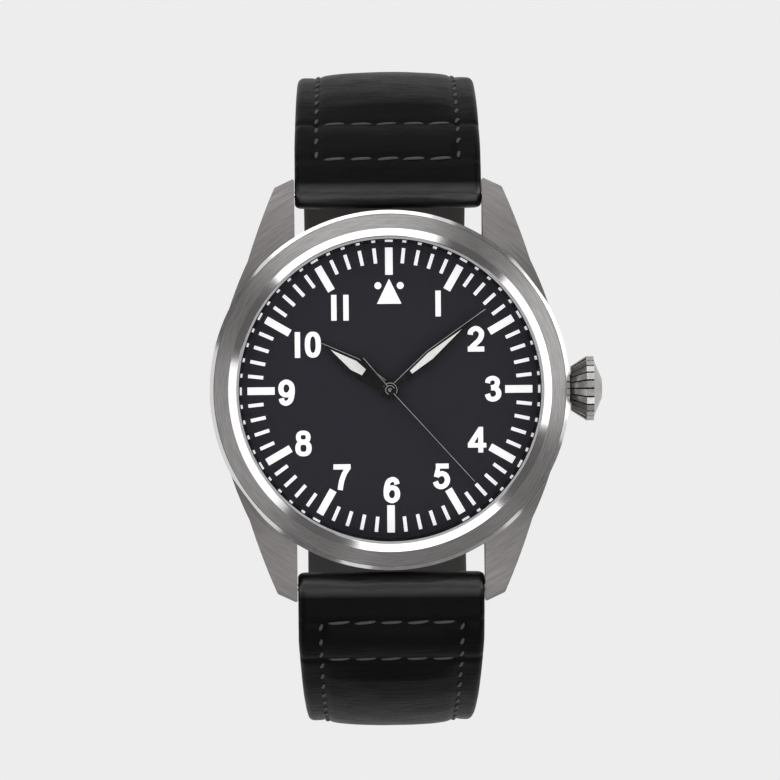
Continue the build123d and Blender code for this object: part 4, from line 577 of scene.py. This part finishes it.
class Route:
    """A smooth line through points (y, z), measured along its length in millimetres."""

    def __init__(self, points):
        curve = bpy.data.curves.new("route", "CURVE")
        curve.dimensions = "3D"
        curve.resolution_u = 24
        spline = curve.splines.new("BEZIER")
        spline.bezier_points.add(len(points) - 1)
        for knot, (y, z) in zip(spline.bezier_points, points):
            knot.co = (0, y, z)
            knot.handle_left_type = knot.handle_right_type = "AUTO"
        line = bpy.data.objects.new("route", curve)
        scene.collection.objects.link(line)
        bpy.context.view_layer.update()
        mesh = bpy.data.meshes.new_from_object(line)
        self.points = np.array([vertex.co[:] for vertex in mesh.vertices])[:, 1:]
        bpy.data.objects.remove(line)
        steps = np.linalg.norm(np.diff(self.points, axis=0), axis=1)
        self.along = np.concatenate([[0], np.cumsum(steps)])
        self.length = float(self.along[-1])

    def at(self, distance):
        return np.array([np.interp(distance, self.along, self.points[:, k]) for k in (0, 1)])

    def normal(self, distance, side):
        ahead = self.at(min(distance + 0.4, self.length))
        behind = self.at(max(distance - 0.4, 0.0))
        tangent = (ahead - behind) / np.linalg.norm(ahead - behind)
        return side * np.array([-tangent[1], tangent[0]])


def shaped(side, reach, shares):
    return [(side * (BAR[0] + a * reach), BAR[1] - b * DROP) for a, b in shares]


BUCKLE_BAR = (-1.6, 1.0)
upper_route = Route([BAR, *shaped(1, UPPER_REACH, SHAPE), *shaped(1, UPPER_REACH, [BUCKLE_BAR])])
TAIL_GAP = 0.82 * ROLL_RADIUS + 0.3 + 0.73 * ROLL_RADIUS
tail = [
    upper_route.at(share * upper_route.length) + TAIL_GAP * upper_route.normal(share * upper_route.length, 1)
    for share in (1, 0.95, 0.9, 0.8, 0.7, 0.66)
]
lower_route = Route([
    (-BAR[0], BAR[1]), *shaped(-1, LOWER_REACH, SHAPE[:6]), *shaped(-1, LOWER_REACH, UNDER), *map(tuple, tail)
])
print("strap halves", round(upper_route.length, 1), round(lower_route.length, 1), "mm")


# %% [markdown]
# ## The soft layers
# The leather is thicker in the middle, where the filler lies, and its long edges are rounded. Rows of thread
# pull it down into shallow grooves, and the turn round the spring bar shows fine creases.

# %% Sheets along the strap
# Side 1 is the upper half, -1 the lower. Widths go with the drop below the bar, thicknesses with the length.
# ROWS are the places of the rows of thread as seen from above, COLUMN is that of the columns from the middle.
HALF_WIDTH = 10.14
WIDTHS = {
    1: ((-0.1, 1), (0.065, 1), (1.1, 0.894)),
    -1: ((-0.1, 1), (0.065, 1), (0.4, 0.911), (1.2, 0.894)),
}
THICKNESS = {
    1: ((0, 1), (0.12, 0.9), (0.6, 0.85), (1, 0.82)),
    -1: ((0, 1), (0.1, 0.9), (0.4, 0.82), (0.6, 0.73), (1, 0.73)),
}
PAD_LENGTH = {1: 0.62, -1: 0.44}
ROWS = {1: (25.25, 29.25), -1: (25.35, 29.45)}
COLUMN = {1: 7.75, -1: 7.7}
EDGE_ROUND = 0.75
PAD_RISE, ROW_RISE = 0.62, 0.22
ROW_GROOVE, COLUMN_GROOVE, GROOVE_WIDTH = 0.16, 0.15, 0.42
UNEVENNESS = 0.07
CREASE, CREASE_CUT, CREASE_SHARE = 0.035, 0.03, 0.22


def table(shares, value):
    places, values = zip(*shares)
    return float(np.interp(value, places, values))


def half_width(side, height):
    return HALF_WIDTH * table(WIDTHS[side], (BAR[1] - height) / DROP)


def thickness_of(side, share):
    return ROLL_RADIUS * table(THICKNESS[side], share)


def face_distance(route, side, target):
    """Length along the route at which the outer face reaches a distance from the watch's middle."""
    low, high = 0.0, 20.0
    for _ in range(40):
        middle = (low + high) / 2
        thickness = thickness_of(side, middle / route.length)
        y = side * (route.at(middle) + thickness * route.normal(middle, side))[0]
        low, high = (middle, high) if y < target else (low, middle)
    return (low + high) / 2


routes = {1: upper_route, -1: lower_route}
row_places = {side: [face_distance(routes[side], side, y) for y in ROWS[side]] for side in (1, -1)}
pad_ends = {side: PAD_LENGTH[side] * routes[side].length for side in (1, -1)}
print("rows of thread at", row_places)


def groove(distance):
    return math.exp(-((distance / GROOVE_WIDTH) ** 2))


def column_place(side, along):
    """How far from the middle the column of thread runs, at a length along the strap."""
    return COLUMN[side] * half_width(side, routes[side].at(along)[1]) / HALF_WIDTH


def relief(side, along, across):
    """Height in millimetres that the padding, the seams and the creases add to the leather's face."""
    end = pad_ends[side]
    column = column_place(side, max(0.0, along))
    inside = max(0.0, 1 - (across / (column + 0.2)) ** 2)
    near, far = row_places[side]
    height = 0.0
    if along > far:
        rise = min(1.0, (along - far) / 3.0) * min(1.0, max(0.0, (end + 4 - along) / 10.0))
        height += PAD_RISE * rise * inside**0.6
    elif along > near:
        middle = (along - near) / (far - near)
        height += ROW_RISE * math.sin(math.pi * middle) * inside**0.5
    height -= ROW_GROOVE * groove(along - near) + ROW_GROOVE * groove(along - far)
    if near < along < routes[side].length - 6:
        height -= COLUMN_GROOVE * groove(abs(across) - column)
    height += UNEVENNESS * noise.noise(Vector((across * 0.35, along * 0.35, side * 9.0)))
    if along < near:
        crease = noise.noise(Vector((across * 0.30, along * 2.4, side * 5.0)))
        height += CREASE * crease - CREASE_CUT * max(0.0, CREASE_SHARE - abs(crease)) / CREASE_SHARE
    return height


def bent_sheet(name, side, columns, rows, place_face, place_back):
    """A closed sheet laid along a strap half by the places of its face and of its back."""
    sheet = bmesh.new()
    bmesh.ops.create_grid(sheet, x_segments=columns, y_segments=rows, size=1.0)
    bmesh.ops.recalc_face_normals(sheet, faces=sheet.faces)
    bmesh.ops.solidify(sheet, geom=sheet.faces[:], thickness=1.0)
    for vertex in sheet.verts:
        across = math.sin(vertex.co.x * math.pi / 2)
        share = (vertex.co.y + 1) / 2
        lay = place_face if abs(vertex.co.z) < 0.5 else place_back
        vertex.co = Vector(lay(share, across)) * MM
    bmesh.ops.recalc_face_normals(sheet, faces=sheet.faces)
    for face in sheet.faces:
        face.smooth = True
    return piece_of(name, sheet)


def edge_drop(distance_to_edge):
    """How far a rounded long edge lies below the face."""
    inward = min(distance_to_edge, EDGE_ROUND)
    return EDGE_ROUND - math.sqrt(EDGE_ROUND**2 - (EDGE_ROUND - inward) ** 2)


def leather_point(side, share, across, face):
    """Place of a point of the leather: half a turn round the bar, then along the strap."""
    route = routes[side]
    turn_length = math.pi * ROLL_RADIUS
    total = route.length + turn_length
    along = share * total - turn_length
    bar = np.array((side * BAR[0], BAR[1]))
    if along < 0:
        start = route.normal(0.0, side)
        angle = side * (-along / ROLL_RADIUS)
        cosine, sine = math.cos(angle), math.sin(angle)
        out = np.array((cosine * start[0] - sine * start[1], sine * start[0] + cosine * start[1]))
        width = HALF_WIDTH
        high = ROLL_RADIUS + relief(side, along, across * width)
        low = BORE + 0.03
        y, z = bar + out * (high - edge_drop(width * (1 - abs(across))) * 0.7 if face else low)
        return (across * width, y, z)
    middle = route.at(along)
    out = route.normal(along, side)
    width = half_width(side, middle[1])
    thickness = thickness_of(side, along / route.length)
    if face:
        high = thickness + relief(side, along, across * width) - edge_drop(width * (1 - abs(across)))
        end_drop = edge_drop(max(0.0, route.length - along) * 1.2)
        y, z = middle + out * max(0.25, high - end_drop)
    else:
        low = math.sqrt(max(0.0, (BORE + 0.03) ** 2 - along**2)) + 0.01
        y, z = middle + out * low
    return (across * width, y, z)


def lining_point(side, share, across, face):
    """Place of a point of the lining, which starts behind the turn round the bar."""
    route = routes[side]
    start = ROLL_RADIUS + 0.05
    along = start + share * (route.length - start - 0.4)
    middle = route.at(along)
    out = route.normal(along, side)
    width = half_width(side, middle[1]) - 0.05
    thickness = thickness_of(side, along / route.length)
    depth = 0.0 if face else thickness - 0.4 * edge_drop(width * (1 - abs(across)))
    y, z = middle - out * depth
    return (across * width, y, z)


SHEET_ROWS = {1: 300, -1: 420}
for side, word in ((1, "upper"), (-1, "lower")):
    rows = SHEET_ROWS[side]
    piece = bent_sheet(
        f"{word}_strap_leather", side, 56, rows,
        lambda share, across: leather_point(side, share, across, True),
        lambda share, across: leather_point(side, share, across, False),
    )
    piece.data.materials.append(strap_leather)
    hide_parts(f"{word}_leather")
    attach(piece, f"{word}_strap")
    under = bent_sheet(
        f"{word}_strap_lining", side, 24, rows // 2,
        lambda share, across: lining_point(side, share, across, True),
        lambda share, across: lining_point(side, share, across, False),
    )
    under.data.materials.append(lining_leather)
    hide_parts(f"{word}_lining")
    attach(under, f"{word}_strap")
    print(word, "leather", len(piece.data.polygons), "faces")


# %% [markdown]
# ## Stitches
# Two rows run across each half beside the spring bar, and a column runs along each side. Each stitch is a short
# slanted dash of waxed thread that sinks into the leather at both ends.

# %% Thread
PITCH, COLUMN_PITCH = 2.62, 1.85
DASH, COLUMN_DASH = 2.5, 0.95
THREAD, THREAD_LIFT, THREAD_SINK = 0.19, 0.05, 0.13


def stitches(name, side):
    """Every stitch of one strap half as one piece."""
    route = routes[side]
    thread = bmesh.new()
    near, far = row_places[side]

    def add(along, across, heading):
        middle = route.at(along)
        out = route.normal(along, side)
        thickness = thickness_of(side, along / route.length)
        high = thickness + relief(side, along, across) + THREAD_LIFT
        y, z = middle + out * high
        normal = Vector((0, out[0], out[1]))
        ahead = Vector((0, side * out[1], -side * out[0]))
        length_axis = Vector((1, 0, 0)) if heading == "row" else ahead
        cross_axis = normal.cross(length_axis)
        slant = math.radians(6 + random.uniform(-3, 3)) * (1 if heading == "row" else -3)
        dash = DASH if heading == "row" else COLUMN_DASH
        rotated = length_axis * math.cos(slant) + cross_axis * math.sin(slant)
        frame_matrix = Matrix((rotated, normal.cross(rotated), normal)).transposed().to_4x4()
        made = bmesh.ops.create_uvsphere(thread, u_segments=10, v_segments=8, radius=1.0)["verts"]
        bmesh.ops.rotate(thread, verts=made, cent=(0, 0, 0), matrix=Matrix.Rotation(math.pi / 2, 3, "Y"))
        for vertex in made:
            vertex.co.x = math.copysign(abs(vertex.co.x) ** 0.8, vertex.co.x) * dash / 2
            vertex.co.y *= THREAD
            vertex.co.z = vertex.co.z * THREAD * 0.8 - THREAD_SINK * (vertex.co.x / (dash / 2)) ** 4
        bmesh.ops.transform(thread, matrix=frame_matrix, verts=made)
        bmesh.ops.translate(thread, verts=made, vec=(across, y, z))

    for row in (near, far):
        width = column_place(side, row) - 0.55
        count = round(2 * width / PITCH)
        for step in range(count):
            add(row, -width + (step + 0.5) * 2 * width / count, "row")
    along = near - 0.2
    while along < route.length - 7.0:
        column = column_place(side, along)
        for sign in (-1, 1):
            add(along + COLUMN_PITCH * 0.4, sign * column, "column")
        along += COLUMN_PITCH
    bmesh.ops.scale(thread, vec=(MM, MM, MM), verts=thread.verts)
    for face in thread.faces:
        face.smooth = True
    piece = piece_of(name, thread)
    piece.data.materials.append(strap_thread)
    return piece


for side, word in ((1, "upper"), (-1, "lower")):
    seam = stitches(f"{word}_strap_stitches", side)
    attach(seam, f"{word}_strap")
    print(word, "stitches", len(seam.data.polygons), "faces")


# %% [markdown]
# ## Keepers
# Two leather loops hold the long half's end: one is sewn to the short half beside the buckle, the other slides.

# %% Keepers
KEEPER_CORNER = 1.0
KEEPER_HALF_LENGTH = 1.98
KEEPER_HALF_WALL = 0.37
KEEPER_MIDDLE = 0.4
SECTION_STEPS = 20


def keeper(name, centre, along, half_wide, half_high):
    """A closed leather band of 4 mm with rounded edges, bent round the strap."""
    along = Vector((0, *along)).normalized()
    up = Vector((1, 0, 0)).cross(along)
    path = []
    for sign_x, sign_z, start in ((1, 1, 0), (-1, 1, 90), (-1, -1, 180), (1, -1, 270)):
        for step in range(7):
            angle = math.radians(start + 15 * step)
            path.append((
                sign_x * (half_wide - KEEPER_CORNER) + KEEPER_CORNER * math.cos(angle),
                sign_z * (half_high - KEEPER_CORNER) + KEEPER_CORNER * math.sin(angle),
                math.cos(angle),
                math.sin(angle),
            ))
    section = []
    for step in range(SECTION_STEPS):
        angle = 2 * math.pi * step / SECTION_STEPS
        run = math.copysign(abs(math.cos(angle)) ** 0.35, math.cos(angle)) * KEEPER_HALF_LENGTH
        rise = math.copysign(abs(math.sin(angle)) ** 0.6, math.sin(angle)) * KEEPER_HALF_WALL
        section.append((run, rise - KEEPER_MIDDLE))
    band = bmesh.new()
    rings = []
    for x, z, out_x, out_z in path:
        base = Vector((0, *centre)) + Vector((x, 0, 0)) + up * z
        outward = Vector((out_x, 0, 0)) + up * out_z
        rings.append([band.verts.new((base + outward * rise + along * run) * MM) for run, rise in section])
    for ring, following in zip(rings, rings[1:] + rings[:1]):
        for step in range(SECTION_STEPS):
            ahead = (step + 1) % SECTION_STEPS
            band.faces.new((ring[step], following[step], following[ahead], ring[ahead]))
    bmesh.ops.recalc_face_normals(band, faces=band.faces)
    for face in band.faces:
        face.smooth = True
    piece = piece_of(name, band)
    piece.data.materials.append(strap_leather)
    return piece


KEEPER_HALF_WIDTH = 10.05
sewn_loop = keeper("sewn_keeper_leather", (8.0, -43.026), (1, 0), KEEPER_HALF_WIDTH, 3.476)
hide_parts("fixed_keeper")
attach(sewn_loop, "upper_strap")
slider_place = 0.82 * upper_route.length
slider_out = upper_route.normal(slider_place, 1)
slider_centre = upper_route.at(slider_place) + 1.3545 * slider_out
free_loop = keeper(
    "sliding_keeper_leather", tuple(slider_centre), (slider_out[1], -slider_out[0]), KEEPER_HALF_WIDTH, 3.8075
)
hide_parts("sliding_keeper")
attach(free_loop, "keeper")
print("keepers", len(sewn_loop.data.polygons), len(free_loop.data.polygons), "faces")

# %% [markdown]
# ## Numerals
# The hours are printed in a plain bold sans and the 1 is a bare bar. Each numeral is put together from broad
# strokes, straight pieces and rings, in picture points, and has the thickness of a coat of paint. The parts of a
# numeral differ by a hair in height where they overlap.

# %% Numerals
DIAL_TOP = 6.6
PAINT = 0.05
PART_STEP = 0.002
UPRIGHT, LEVEL = 5.45, 4.9
FIGURE_WIDTH, FIGURE_HEIGHT = 0.975, 0.985


def pixel(x, y):
    """Place on the dial, in millimetres, of a point of the picture's frame."""
    reach = (DISTANCE - (DIAL_TOP - DIAL_HEIGHT)) / DISTANCE
    return ((x - PICTURE / 2) / SCALE * reach, (PICTURE / 2 - y) / SCALE * reach)


def smooth(points, steps=7):
    """Points of a smooth line through the given ones."""
    knots = [points[0], *points, points[-1]]
    line = []
    for p0, p1, p2, p3 in zip(knots, knots[1:], knots[2:], knots[3:]):
        for step in range(steps):
            t = step / steps
            line.append(tuple(
                0.5 * (2 * b + (c - a) * t + (2 * a - 5 * b + 4 * c - d) * t**2 + (3 * b - a - 3 * c + d) * t**3)
                for a, b, c, d in zip(p0, p1, p2, p3)
            ))
    return [*line, points[-1]]


def ring(x, y, half_x, half_y, power=2.4):
    """Points of a rounded ring, closed."""
    line = []
    for step in range(49):
        angle = 2 * math.pi * step / 48
        c, s = math.cos(angle), math.sin(angle)
        line.append((
            x + half_x * math.copysign(abs(c) ** (2 / power), c),
            y + half_y * math.copysign(abs(s) ** (2 / power), s),
        ))
    return line


def stroke(line, upright=UPRIGHT, level=LEVEL):
    """Quads of a broad stroke along a line, wider where it runs upright than where it runs level."""
    closed = math.dist(line[0], line[-1]) < 1e-6
    sides = []
    for index, (x, y) in enumerate(line):
        before = line[index - 1] if index else (line[-2] if closed else line[0])
        after = line[index + 1] if index + 1 < len(line) else (line[1] if closed else line[-1])
        run = (after[0] - before[0], after[1] - before[1])
        length = math.hypot(*run)
        tx, ty = run[0] / length, run[1] / length
        half = (upright * ty * ty + level * tx * tx) / 2
        sides.append(((x - ty * half, y + tx * half), (x + ty * half, y - tx * half)))
    return [[a, b, d, c] for (a, b), (c, d) in zip(sides, sides[1:])]


def block(left, low, right, high):
    return [[(left, low), (right, low), (right, high), (left, high)]]


nine = [
    (3.1, 7.4), (4.3, 3.9), (8.0, 2.4), (12.0, 4.9), (13.9, 11.0), (14.2, 17.0), (12.8, 21.7), (8.4, 24.1),
    (4.1, 21.9), (2.7, 17.2), (4.1, 12.5), (8.0, 10.8), (11.5, 12.0), (13.6, 15.0),
]
SHAPES = {
    "0": [stroke(ring(8.2, 13.2, 5.55, 10.75, 2.5))],
    "2": [
        stroke(smooth([
            (2.7, 17.2), (3.6, 20.9), (8.4, 23.6), (13.0, 21.2), (14.3, 17.2), (12.3, 12.2), (8.0, 8.0), (4.2, 4.4),
            (2.6, 1.0),
        ])),
        block(0.1, 0, 17.0, 5.1),
    ],
    "3": [
        stroke(smooth([
            (2.8, 18.9), (3.9, 22.2), (8.1, 23.9), (12.0, 22.3), (12.9, 19.2), (11.2, 15.6), (6.5, 14.3),
        ]), 5.2, 4.6),
        stroke(smooth([
            (6.5, 13.9), (11.4, 13.2), (14.2, 9.4), (13.0, 4.6), (8.3, 2.4), (4.1, 4.0), (2.7, 7.8),
        ])),
    ],
    "4": [
        [[(0, 9.4), (6.3, 9.6), (10.7, 16.7), (11.3, 26.0)]],
        block(0, 5.05, 18.9, 9.7),
        [[(10.6, 0), (15.7, 0), (15.7, 26.0), (11.2, 26.0), (10.6, 25.0)]],
    ],
    "5": [
        block(3.1, 20.9, 16.3, 26.0),
        [[(1.0, 12.9), (5.8, 11.9), (7.5, 21.2), (3.1, 21.2)]],
        stroke(smooth([
            (3.9, 13.6), (8.8, 15.9), (13.0, 14.2), (14.9, 9.5), (13.1, 4.7), (8.5, 2.4), (4.3, 4.0),
            (2.6, 7.7),
        ])),
    ],
    "6": [stroke(smooth([(17.2 - x, 26.6 - y) for x, y in nine]))],
    "7": [
        block(0, 20.8, 17.6, 26.1),
        stroke(smooth([(14.9, 22.4), (11.1, 16.4), (8.3, 9.0), (6.7, 0)]), 5.3, 5.3),
    ],
    "8": [stroke(ring(8.4, 19.4, 5.05, 4.5), 4.9, 4.4), stroke(ring(8.5, 8.2, 5.75, 5.9), 5.3, 4.6)],
    "9": [stroke(smooth(nine))],
    "1": [block(0, 0, 5.5, 26.2)],
}
FIGURES = [
    ("0", 313.3, 344.0), ("2", 476.4, 339.5), ("3", 493.2, 389.6), ("4", 476.7, 440.5), ("5", 440.8, 476.8),
    ("6", 391.0, 490.1), ("7", 341.4, 476.9), ("8", 303.0, 442.7), ("9", 286.6, 391.7), ("1", 334.6, 307.3),
    ("1", 346.7, 307.3), ("1", 438.9, 303.9), ("1", 297.9, 344.2),
]

numerals = bmesh.new()
for word, x, y in FIGURES:
    corners = [corner for part in SHAPES[word] for quad in part for corner in quad]
    xs, ys = zip(*corners)
    middle = ((min(xs) + max(xs)) / 2, (min(ys) + max(ys)) / 2)
    for layer, part in enumerate(SHAPES[word]):
        shape = bmesh.new()
        for quad in part:
            places = [
                pixel(x + FIGURE_WIDTH * (a - middle[0]), y - FIGURE_HEIGHT * (b - middle[1])) for a, b in quad
            ]
            shape.faces.new([shape.verts.new((*place, 0)) for place in places])
        bmesh.ops.remove_doubles(shape, verts=shape.verts, dist=1e-4)
        bmesh.ops.recalc_face_normals(shape, faces=shape.faces)
        for face in shape.faces:
            if face.normal.z < 0:
                face.normal_flip()
        raised = bmesh.ops.extrude_face_region(shape, geom=shape.faces[:])
        lifted = [item for item in raised["geom"] if isinstance(item, bmesh.types.BMVert)]
        bmesh.ops.translate(shape, verts=lifted, vec=(0, 0, PAINT + PART_STEP * layer))
        bmesh.ops.recalc_face_normals(shape, faces=shape.faces)
        flat = bpy.data.meshes.new("figure")
        shape.to_mesh(flat)
        shape.free()
        numerals.from_mesh(flat)
        bpy.data.meshes.remove(flat)
bmesh.ops.translate(numerals, verts=numerals.verts, vec=(0, 0, DIAL_TOP))
bmesh.ops.scale(numerals, verts=numerals.verts, vec=(MM, MM, MM))
numeral_piece = piece_of("hour_numerals", numerals)
numeral_piece.data.materials.append(white_print)
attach(numeral_piece, "watch_head")
print("numerals", len(numeral_piece.data.polygons), "faces")

# %% [markdown]
# ## Painted highlights on the hands' edges
# The hands are black, and their polished bevels catch the light as one fine line along an upper edge and as
# rings round the hubs. Each line is painted on as a thin glowing strip of its own on top of the bevel.

# %% Painted highlights on the hands
STRIP_THICKNESS = 0.005
STRIP_LIFT = 0.006
LIT_WIDTH = 0.045
RING_HALF_WIDTH = 0.022
RING_STEPS = 40
HAND_TOPS = {"hour": 7.1, "minute": 7.5, "seconds": 7.9}
HAND_ANGLES = {"hour": 304.6, "minute": 50.2, "seconds": 137.8}


def thicken(strip):
    """Give flat strips a thickness, so that each one is a closed body."""
    strip.normal_update()
    bmesh.ops.solidify(strip, geom=list(strip.faces), thickness=STRIP_THICKNESS * MM)
    bmesh.ops.recalc_face_normals(strip, faces=strip.faces)


def painted_highlight_strips(name, body, line, rings=()):
    """Painted highlight strips on top of a hand: a line through points (aside, ahead), and arcs (radius, lift,
    start, end).
    """
    turned = math.radians(HAND_ANGLES[body])
    ahead = Vector((math.sin(turned), math.cos(turned)))
    aside = Vector((math.cos(turned), -math.sin(turned)))
    top = HAND_TOPS[body]
    strip = bmesh.new()

    def band(pairs, level):
        made = [[strip.verts.new((point.x * MM, point.y * MM, level * MM)) for point in pair] for pair in pairs]
        for one, other in zip(made, made[1:]):
            strip.faces.new((one[0], one[1], other[1], other[0]))

    inward = -math.copysign(LIT_WIDTH, line[0][0])
    band([(ahead * y + aside * x, ahead * y + aside * (x + inward)) for x, y in line], top + STRIP_LIFT)
    for radius, lift, start, end in rings:
        arc = [math.radians(start + (end - start) * step / RING_STEPS) for step in range(RING_STEPS + 1)]
        ways = [Vector((math.cos(angle), math.sin(angle))) for angle in arc]
        pairs = [(way * (radius - RING_HALF_WIDTH), way * (radius + RING_HALF_WIDTH)) for way in ways]
        band(pairs, top + lift + STRIP_LIFT)
    thicken(strip)
    piece = piece_of(name, strip)
    piece.data.materials.append(painted_highlight_steel)
    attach(piece, body)


painted_highlight_strips("hour_hand_painted_highlight", "hour", [(0.62, 0.95), (0.90, 4.75), (0.03, 9.13)])
painted_highlight_strips("minute_hand_painted_highlight", "minute", [(-0.32, 0.80), (-0.65, 5.7), (-0.03, 13.5)], [(0.76, 0, -30, 150)])
painted_highlight_strips(
    "seconds_hand_painted_highlight", "seconds", [(-0.24, -4.48), (-0.12, -0.5)], [(0.47, 0, 20, 250), (0.16, 0.14, 0, 300)]
)
painted_highlight_strips("seconds_tip_painted_highlight", "seconds", [(-0.05, 0.52), (-0.05, 13.5)])
print("lit edges made")

# %% [markdown]
# ## Painted reflections on the flange
# The steep ring round the dial mirrors the outer ends of the minute marks as a row of short bright dashes, with
# broader ones at the hours, except round 6 o'clock. These mirror images are painted on the ring as thin strips
# of the glowing white print: painted reflections.

# %% Painted reflections on the flange
FLANGE_FOOT, FLANGE_LEAN, FLANGE_RISE = 16.06, 0.19, 1.8
FLANGE_GAP = 0.03
FLANGE_SHARES = (0.02, 0.98)
FLANGE_STEP = 1.5
HALF_HOUR_MARK, HALF_MINUTE_MARK = 1.5, 0.75
UNSEEN_MARKS = range(41, 50)
flange_painted_reflections = bmesh.new()


def painted_reflection_strip(start, end):
    """A painted reflection strip up the flange's cone between two angles in degrees."""
    rows = []
    steps = max(1, round((end - start) / FLANGE_STEP))
    for share in FLANGE_SHARES:
        radius = FLANGE_FOOT + FLANGE_LEAN * share - FLANGE_GAP
        height = DIAL_TOP + FLANGE_RISE * share
        row = []
        for step in range(steps + 1):
            angle = math.radians(start + (end - start) * step / steps)
            place = (radius * math.cos(angle) * MM, radius * math.sin(angle) * MM, height * MM)
            row.append(flange_painted_reflections.verts.new(place))
        rows.append(row)
    for step in range(steps):
        flange_painted_reflections.faces.new((rows[0][step], rows[1][step], rows[1][step + 1], rows[0][step + 1]))


for minute in range(60):
    if minute in UNSEEN_MARKS:
        continue
    half = HALF_HOUR_MARK if minute % 5 == 0 else HALF_MINUTE_MARK
    painted_reflection_strip(6 * minute - half, 6 * minute + half)
thicken(flange_painted_reflections)
flange_reflection_piece = piece_of("flange_painted_reflections", flange_painted_reflections)
flange_reflection_piece.data.materials.append(white_print)
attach(flange_reflection_piece, "watch_head")
